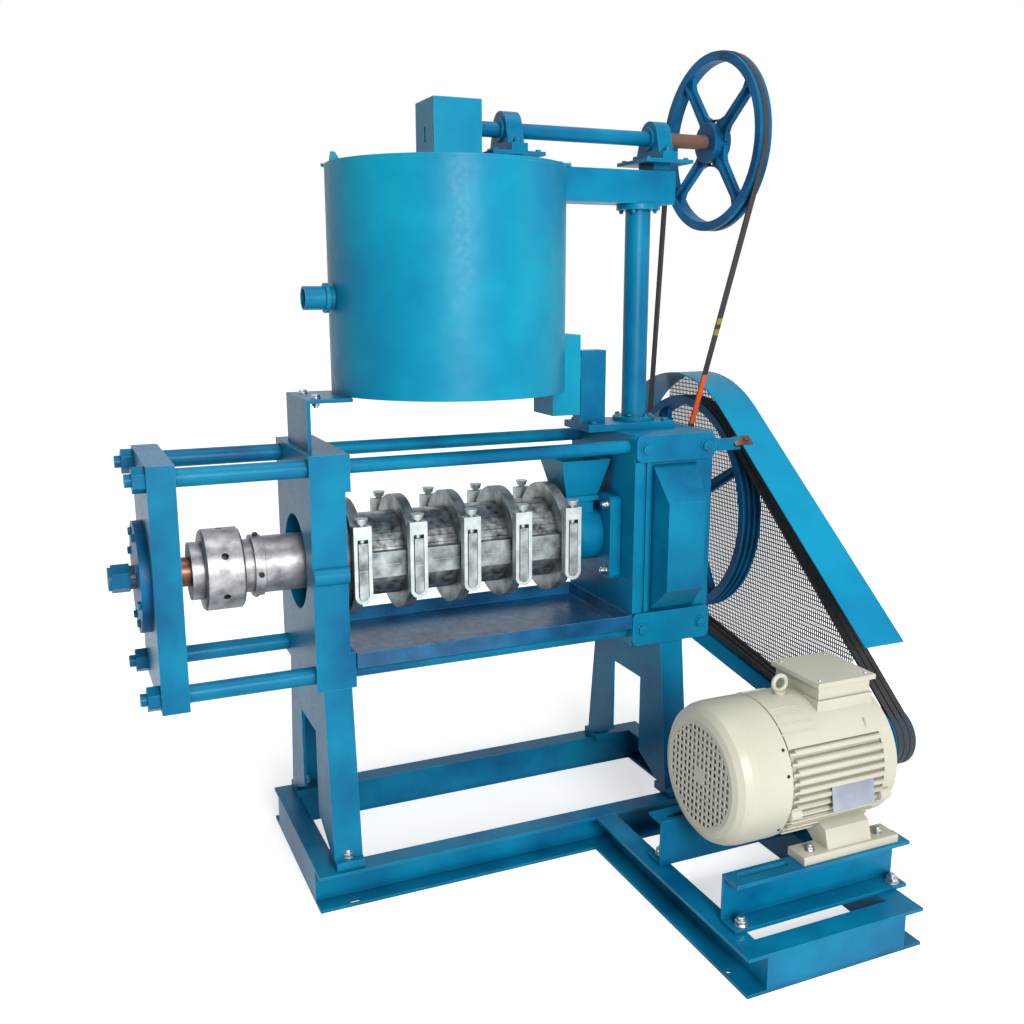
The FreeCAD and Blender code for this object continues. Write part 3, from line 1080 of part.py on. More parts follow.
def stirrer():
    floor = "kettle_low + kettle_bottom + stirrer_floor_gap"
    shaft = rod("stirrer_shaft", "Z", (floor, "drive_rise - bevel_inner*bevel_pinion_radius"), KETTLE_AT,
                "stirrer_radius")
    arms = []
    for k, level in enumerate((floor, f"{floor} + 230")):
        tip = "stirrer_blade_tip" if k == 0 else "stirrer_blade_tip - 60"
        across = (f"kettle_x - ({tip})", f"kettle_x + {tip}")
        thick = ("-stirrer_blade_thick/2", "stirrer_blade_thick/2")
        spans = (across, thick) if k == 0 else (tuple(f"kettle_x + {v}" for v in thick),
                                                (f"-({tip})", tip))
        arms.append(block(f"stirrer_blade{k}", *spans, (level, f"{level} + stirrer_blade_rise")))
    node("stirrer", fuse("stirrer", shaft, *arms))


# ---- pulleys and belts ---------------------------------------------------------------------
GROOVE_HALF = "(belt_width/2 - belt_proud*belt_slope + belt_gap)"
GROOVE_DEEP = "(belt_thick - belt_proud + groove_floor)"


def rim_points(left, width, radius, grooves):
    """The rim's outer outline from left to right, with one V per belt."""
    points = [(left, radius)]
    for k in range(grooves):
        centre = f"({left}) + ({width})/2 + ({k} - {(grooves - 1) / 2})*belt_pitch"
        floor = f"({radius}) - {GROOVE_DEEP}"
        narrow = f"({GROOVE_HALF} - {GROOVE_DEEP}*belt_slope)"
        points += [(f"{centre} - {GROOVE_HALF}", radius), (f"{centre} - {narrow}", floor),
                   (f"{centre} + {narrow}", floor), (f"{centre} + {GROOVE_HALF}", radius)]
    return points + [(f"({left}) + ({width})", radius)]


def small_pulley(label, left, width, radius, bore, grooves, centre):
    owner = body(label)
    outline = rim_points(left, width, radius, grooves)
    revolve(owner, f"{label}_turned", [(left, bore), *outline, (f"({left}) + ({width})", bore)], "X")
    place(owner, "0", *centre)
    node(label, owner)


def spoked_pulley(label, left, width, radius, hub, bore, grooves, centre, arms, turn):
    """Hub, ribbed arms that flare into hub and rim, and a rim with V grooves."""
    owner = body(label)
    right, middle = f"({left}) + ({width})", f"({left}) + ({width})/2"
    inner = f"({radius}) - rim_depth"
    revolve(owner, f"{label}_hub", [
        (f"({left}) - hub_out", bore), (f"({left}) - hub_out", f"({hub}) - 3"),
        (f"({left}) - hub_out + 3", hub), (f"{right} + 2", hub), (f"{right} + 2", bore)], "X")
    arm = sketch_on(owner, f"{label}_arm_outline", "YZ_Plane", f"{middle} - spoke_thick/2", turn)
    wide, thin = "(spoke_width/2 + spoke_flare)", "spoke_width/2"
    side = [(f"({hub}) - 6", wide), (f"({hub}) + spoke_flare*0.4", f"{thin} + spoke_flare*0.4"),
            (f"({hub}) + spoke_flare*1.3", thin), (f"{inner} - spoke_flare*1.3", f"{thin}*0.9"),
            (f"{inner} - spoke_flare*0.4", f"{thin}*0.9 + spoke_flare*0.4"), (f"{inner} + 4", wide)]
    draw(arm, [(reach, f"-({half})") for reach, half in side] + side[::-1])
    first = pad(owner, f"{label}_arm", arm, "spoke_thick")
    rib = sketch_on(owner, f"{label}_rib_outline", "YZ_Plane", f"{middle} - spoke_thick/2 - spoke_rib", turn)
    draw(rib, [(f"({hub}) - 6", "-6"), (f"{inner} + 4", "-5"), (f"{inner} + 4", "5"), (f"({hub}) - 6", "6")])
    second = pad(owner, f"{label}_rib", rib, "spoke_thick + 2*spoke_rib")
    polar(owner, f"{label}_arms", [first, second], "X", arms)
    outline = rim_points(left, width, radius, grooves)
    revolve(owner, f"{label}_rim", [(left, inner), *outline, (right, inner)], "X")
    place(owner, "0", *centre)
    node(label, owner)


# ---- belts and their guard -----------------------------------------------------------------
def along(section, centre, radius, angle):
    """A flat face across the run: section points are (x, height above the run's radius)."""
    (y, z), turn = centre, (math.cos(angle), math.sin(angle))
    corners = [FreeCAD.Vector(x, y + (radius + lift) * turn[0], z + (radius + lift) * turn[1])
               for x, lift in section]
    return Part.Face(Part.makePolygon([*corners, corners[0]]))


def bend(section, centre, radius, start, end):
    face = along(section, centre, radius, start)
    return face.revolve(FreeCAD.Vector(0, *centre), FreeCAD.Vector(1, 0, 0), math.degrees(end - start))


def straight(section, centre, radius, angle, reach):
    """A straight run from the point where it leaves the circle; reach is its Y and Z travel."""
    return along(section, centre, radius, angle).extrude(FreeCAD.Vector(0, *reach))


def belt(section, first, second):
    """A closed belt round two circles, each given as centre Y, centre Z and radius."""
    (ya, za, ra), (yb, zb, rb) = first, second
    gap = math.hypot(yb - ya, zb - za)
    line = math.atan2(zb - za, yb - ya)
    lean = math.acos((ra - rb) / gap)
    up, down = line + lean, line - lean
    pieces = [bend(section, (ya, za), ra, up, down + 2 * math.pi), bend(section, (yb, zb), rb, down, up)]
    for angle in (up, down):
        reach = (yb - ya + (rb - ra) * math.cos(angle), zb - za + (rb - ra) * math.sin(angle))
        pieces.append(straight(section, (ya, za), ra, angle, reach))
    return pieces[0].fuse(pieces[1:]).removeSplitter()


def belt_section(x):
    top, low = size("belt_proud"), size("belt_proud") - size("belt_thick")
    wide = size("belt_width") / 2
    narrow = wide - size("belt_thick") * size("belt_slope")
    return [(x - wide, top), (x + wide, top), (x + narrow, low), (x - narrow, low)]


def belts():
    pinion_y = size("gear_module") * (size("bull_teeth") + size("pinion_teeth")) / 2
    rise = size("axis_rise")
    middle = size("drive_pulley_x") + size("drive_pulley_width") / 2
    motor_z = size("channel_rise") + size("rail_rise") + size("motor_shaft_rise")
    count = int(size("belt_count"))
    loops = []
    for k in range(count):
        x = middle + (k - (count - 1) / 2) * size("belt_pitch")
        loops.append(belt(belt_section(x), (pinion_y, rise, size("drive_pulley_radius")),
                          (size("motor_y"), motor_z, size("motor_pulley_radius"))))
    drive = doc.addObject("Part::Feature", "drive_belts")
    drive.Shape = Part.makeCompound(loops)
    node("drive_belts", drive)
    x = size("kettle_pulley_x") + size("kettle_pulley_width") / 2
    upper = doc.addObject("Part::Feature", "kettle_belt")
    drive_z = rise + size("kettle_clear") + size("kettle_rise") + size("drive_above")
    upper.Shape = belt(belt_section(x), (0, drive_z, size("kettle_pulley_radius")),
                       (pinion_y, rise, size("sheave_radius")))
    node("kettle_belt", upper)


def guard_run():
    """Where the guard's two straight runs leave its arc, and where they end."""
    centre = (size("guard_y"), size("axis_rise") + size("guard_above_axis"))
    radius = size("guard_radius")
    ends = []
    for y, z, turn in (("guard_top_y", "guard_top_z", -1), ("guard_low_y", "guard_low_z", 1)):
        dy, dz = size(y) - centre[0], size(z) - centre[1]
        toward = math.atan2(dz, dy) % (2 * math.pi)
        angle = toward + turn * math.acos(radius / math.hypot(dy, dz))
        reach = (dy - radius * math.cos(angle), dz - radius * math.sin(angle))
        ends.append((angle, reach))
    return centre, radius, ends[0], ends[1]


def belt_guard():
    centre, radius, (top, top_reach), (low, low_reach) = guard_run()
    left, right = size("guard_x"), size("guard_x") + size("guard_width")
    thick = size("guard_sheet")
    section = [(left, 0), (right, 0), (right, thick), (left, thick)]
    pieces = [bend(section, centre, radius, low, top + 2 * math.pi),
              straight(section, centre, radius, top, top_reach),
              straight(section, centre, radius, low, low_reach)]
    band = doc.addObject("Part::Feature", "belt_guard")
    band.Shape = pieces[0].fuse(pieces[1:]).removeSplitter()
    node("belt_guard", band)


def guard_panel():
    centre, radius, (top, top_reach), (low, low_reach) = guard_run()
    x = size("guard_x") + size("guard_width") - size("guard_panel_thick")

    def at(angle, reach=(0, 0)):
        return FreeCAD.Vector(x, centre[0] + radius * math.cos(angle) + reach[0],
                              centre[1] + radius * math.sin(angle) + reach[1])

    back = (low + top + 2 * math.pi) / 2
    corner = FreeCAD.Vector(x, size("guard_corner_y"), size("guard_corner_z"))
    edges = [Part.Arc(at(low), at(back), at(top)).toShape(),
             Part.LineSegment(at(top), at(top, top_reach)).toShape(),
             Part.LineSegment(at(top, top_reach), corner).toShape(),
             Part.LineSegment(corner, at(low, low_reach)).toShape(),
             Part.LineSegment(at(low, low_reach), at(low)).toShape()]
    panel = doc.addObject("Part::Feature", "guard_panel")
    panel.Shape = Part.Face(Part.Wire(edges)).extrude(FreeCAD.Vector(size("guard_panel_thick"), 0, 0))
    node("guard_panel", panel)


def guard_brace():
    """A flat bar that carries the guard's front edge from the gearbox's top corner."""
    node("guard_brace", block("guard_brace", (GEARBOX_RIGHT, "guard_x"),
                              ("brace_y - brace_thick/2", "brace_y + brace_thick/2"),
                              ("brace_rise - brace_width/2", "brace_rise + brace_width/2")))


# ---- motor ---------------------------------------------------------------------------------
MOTOR_Z = "channel_rise + rail_rise + motor_shaft_rise"
MOTOR_AT = ("motor_y", MOTOR_Z)
MOTOR_LEFT = "motor_x + fan_cover_length"
MOTOR_RIGHT = "motor_x + motor_length"
TERMINAL_REST = f"{MOTOR_Z} + motor_radius + motor_fin + 2"


def motor_frame():
    """A barrel with level fins on both sides, a smooth crown, an end shield and bolted feet."""
    floor = "-motor_shaft_rise"
    owner = body("motor_barrel")
    shield = f"{MOTOR_RIGHT} - motor_shield"
    bearing = "motor_shaft + 0.3"
    room = "rotor_radius + 6"
    revolve(owner, "motor_barrel_turned", [
        (f"{MOTOR_LEFT} - 24", bearing), (f"{MOTOR_LEFT} - 24", "motor_radius - 14"),
        (MOTOR_LEFT, "motor_radius - 14"),
        (MOTOR_LEFT, "motor_radius"), (shield, "motor_radius"), (shield, "motor_shield_radius"),
        (f"{MOTOR_RIGHT} - 20", "motor_shield_radius"), (f"{MOTOR_RIGHT} - 6", "motor_shield_radius - 22"),
        (f"{MOTOR_RIGHT} - 6", "motor_nose_radius"), (MOTOR_RIGHT, "motor_nose_radius"),
        (MOTOR_RIGHT, bearing), (f"{shield} + 10", bearing), (f"{shield} + 10", room),
        (f"{MOTOR_LEFT} + 20", room), (f"{MOTOR_LEFT} + 20", bearing)], "X")
    half = "(motor_foot_span/2 + motor_foot_out)"
    for side in (-1, 1):
        foot = sketch_on(owner, f"motor_foot{side}", "YZ_Plane", "motor_foot_x")
        draw(foot, [(f"{side}*{half}", floor), (f"{side}*{half}", f"{floor} + motor_foot_thick - 3"),
                    (f"{side}*({half} - 3)", f"{floor} + motor_foot_thick"),
                    (f"{side}*({half} - motor_foot_pad)", f"{floor} + motor_foot_thick"),
                    (f"{side}*({half} - motor_foot_pad)", floor)])
        pad(owner, f"motor_foot_pad{side}", foot, "motor_foot_length")
        stem = sketch_on(owner, f"pedestal{side}", "YZ_Plane", "motor_foot_x + pedestal_inset")
        draw(stem, [(f"{side}*({half} - 10)", f"{floor} + motor_foot_thick - 2"),
                    (f"{side}*({half} - 24)", f"{floor} + motor_foot_thick + pedestal_rise"),
                    (f"{side}*(motor_radius*0.72)", "-motor_radius*0.62"),
                    (f"{side}*(motor_radius*0.4)", "-motor_radius*0.8"),
                    (f"{side}*({half} - motor_foot_pad)", f"{floor} + motor_foot_thick - 2")])
        pad(owner, f"pedestal_pad{side}", stem, "motor_foot_length - 2*pedestal_inset")
    for k, x in enumerate(("motor_bolt_x", "motor_bolt_x + motor_bolt_span")):
        for side in (-1, 1):
            hole = sketch_on(owner, f"motor_hole{k}{side}", "XY_Plane", f"{floor} + motor_foot_thick + 8")
            ring = hole.addGeometry(Part.Circle(FreeCAD.Vector(1, 1, 0), FreeCAD.Vector(0, 0, 1), 3), False)
            dimension(hole, "DistanceX", x, -1, 1, ring, 3, 1)
            dimension(hole, "DistanceY", f"{side}*motor_foot_span/2", -1, 1, ring, 3, 1)
            dimension(hole, "Radius", "motor_bolt_hole", ring, 3)
            pocket_down(owner, f"motor_hole_cut{k}{side}", hole, "motor_foot_thick + 20")
    place(owner, "0", *MOTOR_AT)
    run = (f"{MOTOR_LEFT} + 4", shield)
    across = ("motor_y - motor_radius - 2*motor_fin", "motor_y + motor_radius + 2*motor_fin")
    levels = [f"{MOTOR_Z} + fin_low + {k}*fin_pitch" for k in range(int(size("motor_fin_count")))]
    slabs = [block(f"fin{k}", run, across, (f"{z} - fin_thick/2", f"{z} + fin_thick/2"))
             for k, z in enumerate(levels)]
    crown = block("crown", run, across,
                  (f"{MOTOR_Z} + shoulder_low", f"{MOTOR_Z} + motor_radius + 2*motor_fin"))
    envelope = rod("fin_envelope", "X", run, MOTOR_AT, "motor_radius + motor_fin")
    core = rod("fin_core", "X", (f"{MOTOR_LEFT} - 1", f"{shield} + 1"), MOTOR_AT, "motor_radius - 3")
    fins = cut("fins", common("fins_trimmed", fuse("fin_slabs", *slabs, crown), envelope), core)
    half_x, half_y = "(terminal_length/2 + terminal_pad)", "(terminal_width/2 + terminal_pad)"
    rest_block = block("terminal_rest_block", (f"terminal_x - {half_x}", f"terminal_x + {half_x}"),
                       (f"terminal_y - {half_y}", f"terminal_y + {half_y}"),
                       (f"{MOTOR_Z} + shoulder_low", TERMINAL_REST))
    rest_core = rod("rest_core", "X", (MOTOR_LEFT, MOTOR_RIGHT), MOTOR_AT, "motor_radius - 3")
    rest = cut("terminal_rest", rest_block, rest_core)
    eye_low = f"{MOTOR_Z} + motor_radius + motor_fin"
    at = ("eye_x", "motor_y")
    boss = rod("eye_boss", "Z", (f"{eye_low} - 14", f"{eye_low} + 8"), at, "16")
    ring = doc.addObject("Part::Torus", "eye_ring")
    ring.Placement = FreeCAD.Placement(FreeCAD.Vector(), FreeCAD.Rotation(FreeCAD.Vector(1, 0, 0), 90))
    ring.setExpression("Radius1", bound("eye_radius"))
    ring.setExpression("Radius2", bound("eye_wire"))
    place(ring, "eye_x", "motor_y", f"{eye_low} + 8 + eye_radius")
    node("motor_frame", fuse("motor_frame", owner, fins, rest, boss, ring))


def pocket_down(owner, name, outline, length):
    """A pocket from an XY sketch down into the solid."""
    feature = owner.newObject("PartDesign::Pocket", name)
    feature.Profile = outline
    feature.setExpression("Length", bound(length))
    CUTS.append(feature)
    return feature


def fan_cover():
    """A turned hood over the fan; its face is a round window filled with a square grille."""
    owner = body("fan_hood")
    right = f"{MOTOR_LEFT} - 0.3"
    wall = "fan_cover_sheet"
    out = "fan_cover_radius"
    revolve(owner, "fan_cover_turned", [
        ("motor_x", "fan_grille_radius"), ("motor_x", f"{out} - 40"), ("motor_x + 6", f"{out} - 24"),
        ("motor_x + 18", f"{out} - 10"), ("motor_x + 36", f"{out} - 2.5"), ("motor_x + 56", out),
        (right, out), (right, f"{out} - {wall}"), ("motor_x + 56", f"{out} - {wall}"),
        ("motor_x + 37", f"{out} - 2.5 - {wall}"), ("motor_x + 20", f"{out} - 10 - {wall}"),
        ("motor_x + 9", f"{out} - 25 - {wall}"), (f"motor_x + {wall}", f"{out} - 42"),
        (f"motor_x + {wall}", "fan_grille_radius")], "X")
    ring = sketch_on(owner, "cover_seat", "YZ_Plane", f"{right} - 20")
    for radius in (f"{out} - {wall} + 1", "motor_radius - 13.7"):
        edge = ring.addGeometry(Part.Circle(FreeCAD.Vector(), FreeCAD.Vector(0, 0, 1), 7), False)
        ring.addConstraint(Sketcher.Constraint("Coincident", edge, 3, -1, 1))
        dimension(ring, "Radius", radius, edge, 100 + 50 * edge)
    pad(owner, "cover_seat_pad", ring, "16")
    place(owner, "0", *MOTOR_AT)
    sheet_span = ("motor_x", f"motor_x + {wall}")
    reach = "(fan_grille_radius + 10)"
    bars = []
    for k in range(-int(size("grille_half_count")), int(size("grille_half_count")) + 1):
        for way, centre in (("Y", "motor_y"), ("Z", MOTOR_Z)):
            line = f"{centre} + {k}*grille_pitch"
            across = (f"{line} - grille_bar/2", f"{line} + grille_bar/2")
            other = MOTOR_Z if way == "Y" else "motor_y"
            long = (f"{other} - {reach}", f"{other} + {reach}")
            spans = (across, long) if way == "Y" else (long, across)
            bars.append(block(f"grille{way}{k + 7}", sheet_span, *spans))
    window = rod("grille_window", "X", sheet_span, MOTOR_AT, "fan_grille_radius + 1")
    middle = rod("grille_boss_disc", "X", sheet_span, MOTOR_AT, "grille_boss")
    grille = common("grille", fuse("grille_bars", *bars, middle), window)
    node("fan_cover", fuse("fan_cover", owner, grille))


def terminal_box():
    half_x, half_y = "terminal_length/2", "terminal_width/2"
    top = "terminal_top - terminal_lid"
    x = (f"terminal_x - {half_x}", f"terminal_x + {half_x}")
    y = (f"terminal_y - {half_y}", f"terminal_y + {half_y}")
    case = block("terminal_case", x, y, (TERMINAL_REST, top))
    lid = block("terminal_lid", (f"{x[0]} - terminal_lid_out", f"{x[1]} + terminal_lid_out"),
                (f"{y[0]} - terminal_lid_out", f"{y[1]} + terminal_lid_out"), (top, "terminal_top"))
    node("terminal_box", fuse("terminal_box", case, lid))


def motor_rotor():
    """Shaft, laminated core and fan disc, turning as one."""
    owner = body("motor_rotor")
    shaft = "motor_shaft"
    revolve(owner, "motor_rotor_turned", [
        ("motor_x + 24", "0"), ("motor_x + 24", shaft), ("motor_x + 36", shaft),
        ("motor_x + 36", "fan_radius"), ("motor_x + 44", "fan_radius"), ("motor_x + 44", shaft),
        (f"{MOTOR_LEFT} + 40", shaft), (f"{MOTOR_LEFT} + 40", "rotor_radius"),
        (f"{MOTOR_RIGHT} - motor_shield - 20", "rotor_radius"), (f"{MOTOR_RIGHT} - motor_shield - 20", shaft),
        ("motor_shaft_end - 2", shaft), ("motor_shaft_end", f"{shaft} - 2"), ("motor_shaft_end", "0")], "X")
    blade = sketch_on(owner, "fan_blade", "YZ_Plane", "motor_x + 43")
    box_outline(blade, ("40", "fan_radius"), ("-2", "2"))
    first = pad(owner, "fan_blade_pad", blade, "fan_thick")
    polar(owner, "fan_blades", [first], "X", "fan_blade_count")
    place(owner, "0", *MOTOR_AT)
    node("motor_rotor", owner)


def pinion_shaft():
    owner = body("pinion_shaft_bar")
    radius = "pinion_shaft_radius"
    revolve(owner, "pinion_shaft_turned", [
        (f"{LEFT_SEAT} + 4", "0"), (f"{LEFT_SEAT} + 4", radius), ("pinion_shaft_end - 3", radius),
        ("pinion_shaft_end", f"{radius} - 3"), ("pinion_shaft_end", "0")], "X")
    place(owner, "0", *PINION_AT)
    teeth = gear("drive_pinion", "pinion_teeth", PINION_AT, radius, (GEAR_LEFT, GEAR_RIGHT))
    node("pinion_shaft", group("pinion_shaft", owner, teeth))


# ---- build ---------------------------------------------------------------------------------
base_frame()
motor_base()
motor_rails()
stand("left_stand", "middle_frame_x + 16")
stand("right_stand", "right_stand_x")
middle_frame()
end_plate()
tie_rods()
cage_halves()
cage_bars()
cage_clamps()
feed_housing()
feed_hopper()
gearbox_housing()
gearbox_bands()
gearbox_front_cover()
gearbox_top_plate()
input_bearing_housing()
shaft_bearings()
node("bull_gear", gear("bull_wheel", "bull_teeth", WORM_AT, "shaft_gear_seat + seat_gap",
                      (GEAR_LEFT, GEAR_RIGHT)))
worm_shaft()
press_worm()
choke()
oil_tray()
kettle_shell()
kettle_lid()
kettle_supports()
discharge_duct()
kettle_gate()
kettle_gear_housing()
pillow_block("left_pillow_block", "pillow_left_x", "kettle_high")
pillow_block("right_pillow_block", "pillow_right_x", "arm_low + arm_rise")
bearing_arm()
column()
kettle_drive_shaft()
bevel_gears()
stirrer()
pinion_shaft()
spoked_pulley("drive_pulley", "drive_pulley_x", "drive_pulley_width", "drive_pulley_radius", "hub_radius",
              "pinion_shaft_radius", int(size("belt_count")), PINION_AT, "drive_arm_count", "drive_arm_turn")
spoked_pulley("kettle_pulley", "kettle_pulley_x", "kettle_pulley_width", "kettle_pulley_radius",
              "kettle_hub_radius", "kettle_shaft_radius", 1, DRIVE_AT, "kettle_arm_count", "kettle_arm_turn")
small_pulley("kettle_drive_sheave", "kettle_pulley_x", "kettle_pulley_width", "sheave_radius",
             "pinion_shaft_radius", 1, PINION_AT)
small_pulley("motor_pulley", "drive_pulley_x", "drive_pulley_width", "motor_pulley_radius", "motor_shaft",
             int(size("belt_count")), MOTOR_AT)
belts()
belt_guard()
guard_panel()
guard_brace()
motor_frame()
fan_cover()
terminal_box()
motor_rotor()

doc.recompute()

broken = [item.Label for item in doc.Objects if "Invalid" in item.State or "Error" in item.State]
if broken:
    raise RuntimeError(f"objects with errors: {broken}")
for feature in CUTS:
    if feature.Shape.Volume >= feature.BaseFeature.Shape.Volume - 1:
        raise RuntimeError(f"{feature.Label} removes nothing")
for label, thing in NODES.items():
    if thing.Shape.isNull() or not thing.Shape.isValid() or not thing.Shape.Solids:
        raise RuntimeError(f"{label} has no valid solid")

os.makedirs("parts", exist_ok=True)
for label, thing in NODES.items():
    thing.Shape.exportStep(f"parts/{label}.step")
print(len(NODES), "sub-parts written")
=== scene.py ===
import math

import bmesh
import bpy
from mathutils import Matrix, Vector


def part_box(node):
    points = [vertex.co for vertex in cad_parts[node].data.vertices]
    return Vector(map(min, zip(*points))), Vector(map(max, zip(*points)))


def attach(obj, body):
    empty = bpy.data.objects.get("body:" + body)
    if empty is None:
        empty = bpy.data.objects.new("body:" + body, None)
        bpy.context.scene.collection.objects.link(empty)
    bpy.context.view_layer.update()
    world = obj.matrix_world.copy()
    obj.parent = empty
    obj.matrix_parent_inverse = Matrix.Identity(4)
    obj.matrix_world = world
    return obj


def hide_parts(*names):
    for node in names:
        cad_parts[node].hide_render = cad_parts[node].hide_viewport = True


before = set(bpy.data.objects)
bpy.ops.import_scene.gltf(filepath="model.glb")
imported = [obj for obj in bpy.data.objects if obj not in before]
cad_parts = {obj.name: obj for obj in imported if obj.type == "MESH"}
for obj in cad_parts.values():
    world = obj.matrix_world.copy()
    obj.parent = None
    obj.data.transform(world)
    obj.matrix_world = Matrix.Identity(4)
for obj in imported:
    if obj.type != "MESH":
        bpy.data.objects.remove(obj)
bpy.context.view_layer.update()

MM = 0.001
LOW, HIGH = 0, 1


# ---- finishes ----------------------------------------------------------------------------
def srgb(code):
    """A #rrggbb colour as linear red, green, blue and alpha."""
    parts = [int(code[i:i + 2], 16) / 255 for i in (1, 3, 5)]
    return [p / 12.92 if p <= 0.04045 else ((p + 0.055) / 1.055) ** 2.4 for p in parts] + [1]


def add(tree, kind, settings=None, links=None):
    """One node with its settings (attributes, or inputs by name or number) and its feeds."""
    made = tree.nodes.new(kind)
    for key, setting in (settings or {}).items():
        if isinstance(key, int) or key in made.inputs:
            made.inputs[key].default_value = setting
        else:
            setattr(made, key, setting)
    for key, source in (links or {}).items():
        tree.links.new(source, made.inputs[key])
    return made


def finish(name, light, dark, patch=180, grain=3, stretch=(1, 1, 1), depth=0.15, rough=(0.3, 0.45),
           worn=None, corner_shade=None, swell=None, soften=2.5, **sockets):
    """A finish: two colours in patches, pale rubbed edges, painted shade in corners, and a fine grain.

    patch, grain and swell are in millimetres: the size of the patches, of the grain and of slow
    waves. stretch lengthens the grain, depth is its height, and rough its lowest and highest gloss.
    """
    skin = bpy.data.materials.new(name)
    skin.use_nodes = True
    tree = skin.node_tree
    shader = tree.nodes["Principled BSDF"]
    place = add(tree, "ShaderNodeTexCoord").outputs["Object"]
    cloud = add(tree, "ShaderNodeTexNoise", {"Scale": 1000 / patch, "Detail": 4.0, "Roughness": 0.55},
                {"Vector": place}).outputs["Fac"]
    spread = add(tree, "ShaderNodeMapRange", {"From Min": 0.35, "From Max": 0.7},
                 {"Value": cloud}).outputs["Result"]
    colour = add(tree, "ShaderNodeMix", {"data_type": "RGBA", 6: srgb(light), 7: srgb(dark)},
                 {0: spread}).outputs[2]
    rounded = add(tree, "ShaderNodeBevel", {"samples": 4, "Radius": soften * MM}).outputs["Normal"]
    if worn:
        plain = add(tree, "ShaderNodeNewGeometry").outputs["Normal"]
        along = add(tree, "ShaderNodeVectorMath", {"operation": "DOT_PRODUCT"},
                    {0: rounded, 1: plain}).outputs["Value"]
        edge = add(tree, "ShaderNodeMapRange", {"From Min": 0.99, "From Max": 0.85, "To Max": 0.75},
                   {"Value": along}).outputs["Result"]
        colour = add(tree, "ShaderNodeMix", {"data_type": "RGBA", 7: srgb(worn)},
                     {0: edge, 6: colour}).outputs[2]
    if corner_shade:
        # Painted shade: where ambient occlusion finds corners, creases and gaps between parts, the colour is
        # darkened.
        open_air = add(tree, "ShaderNodeAmbientOcclusion", {"samples": 8, "Distance": 0.045}).outputs["AO"]
        corner_shade_mask = add(tree, "ShaderNodeMapRange", {"From Min": 0.75, "From Max": 0.3, "To Max": 0.7},
                     {"Value": open_air}).outputs["Result"]
        colour = add(tree, "ShaderNodeMix", {"data_type": "RGBA", 7: srgb(corner_shade)},
                     {0: corner_shade_mask, 6: colour}).outputs[2]
    tree.links.new(colour, shader.inputs["Base Color"])
    lengthen = add(tree, "ShaderNodeMapping", {"Scale": [1 / s for s in stretch]}, {"Vector": place})
    fine = add(tree, "ShaderNodeTexNoise", {"Scale": 1000 / grain, "Detail": 3.0, "Roughness": 0.6},
               {"Vector": lengthen.outputs["Vector"]}).outputs["Fac"]
    gloss = add(tree, "ShaderNodeMapRange", {"From Min": 0.3, "From Max": 0.7, "To Min": rough[0],
                                             "To Max": rough[1]}, {"Value": fine}).outputs["Result"]
    tree.links.new(gloss, shader.inputs["Roughness"])
    normal = add(tree, "ShaderNodeBump", {"Strength": 1.0, "Distance": depth * MM},
                 {"Height": fine, "Normal": rounded}).outputs["Normal"]
    if swell:
        wave = add(tree, "ShaderNodeTexNoise", {"Scale": 1000 / swell[0], "Detail": 1.0}, {"Vector": place})
        normal = add(tree, "ShaderNodeBump", {"Strength": 1.0, "Distance": swell[1] * MM},
                     {"Height": wave.outputs["Fac"], "Normal": normal}).outputs["Normal"]
    tree.links.new(normal, shader.inputs["Normal"])
    for key, setting in sockets.items():
        shader.inputs[key.replace("_", " ")].default_value = setting
    return skin


# Brushed-on alkyd enamel over castings and welded steel: a soft shine over slow waves,
# rubbed pale on its edges, with painted shade darkening its corners.
press_enamel = finish("brushed_alkyd_enamel", "#067fa4", "#015681", patch=240, grain=9, depth=0.06,
                      rough=(0.3, 0.42), worn="#2ba2c2", corner_shade="#03243c", swell=(120, 0.8),
                      Specular_IOR_Level=0.14)
# The same enamel on rolled plate, where the sheet's own dents show through, with painted shade in its
# corners.
kettle_enamel = finish("enamelled_rolled_plate", "#0a97b2", "#02709a", patch=380, grain=14, depth=0.06,
                       rough=(0.34, 0.46), worn="#35b0c6", corner_shade="#043552", swell=(60, 1.6),
                       Specular_IOR_Level=0.16)
# Cast iron wheels under thinner, darker enamel that has taken belt dust, with painted shade in their
# corners.
wheel_enamel = finish("enamelled_cast_iron_wheel", "#05689a", "#033c60", patch=140, grain=5, depth=0.15,
                      rough=(0.36, 0.5), worn="#2a8eb8", corner_shade="#041826", Specular_IOR_Level=0.14)
# Enamel on the thin rolled guard, in broad patches of two tones.
guard_enamel = finish("enamelled_guard_sheet", "#0792b8", "#02609a", patch=700, grain=12, depth=0.06,
                      rough=(0.34, 0.46), worn="#35aecb", swell=(90, 0.8), Specular_IOR_Level=0.14)
# Thin punched sheet, grey where its zinc has dulled.
punched_sheet = finish("dulled_zinc_sheet", "#66727b", "#4a555e", patch=120, grain=3, depth=0.03,
                       rough=(0.45, 0.6), soften=0.4, Metallic=0.5)
# Enamel that oil has run over: darker, with a wet shine.
tray_enamel = finish("oil_wetted_enamel", "#1c6795", "#093a60", patch=120, grain=30, depth=0.3,
                     rough=(0.2, 0.34), worn="#3d9fc2", Specular_IOR_Level=0.3)
# Powder coat on the motor's aluminium and iron: even, slightly pebbled grey cream, with painted shade in its
# corners.
motor_powder = finish("cream_powder_coat", "#c3c0b1", "#b9b5a2", patch=300, grain=2.2, depth=0.07,
                      rough=(0.36, 0.48), worn="#e6e4d8", corner_shade="#8b8671", soften=1.5)
# Turned steel with a feed mark along the axis and a thin film of oil, with painted shade in its corners.
turned_steel = finish("turned_steel", "#aaabae", "#6f7074", patch=38, grain=1.6, stretch=(0.6, 40, 40),
                      depth=0.05, rough=(0.34, 0.5), worn="#e6e7e8", corner_shade="#2b2926", Metallic=0.75)
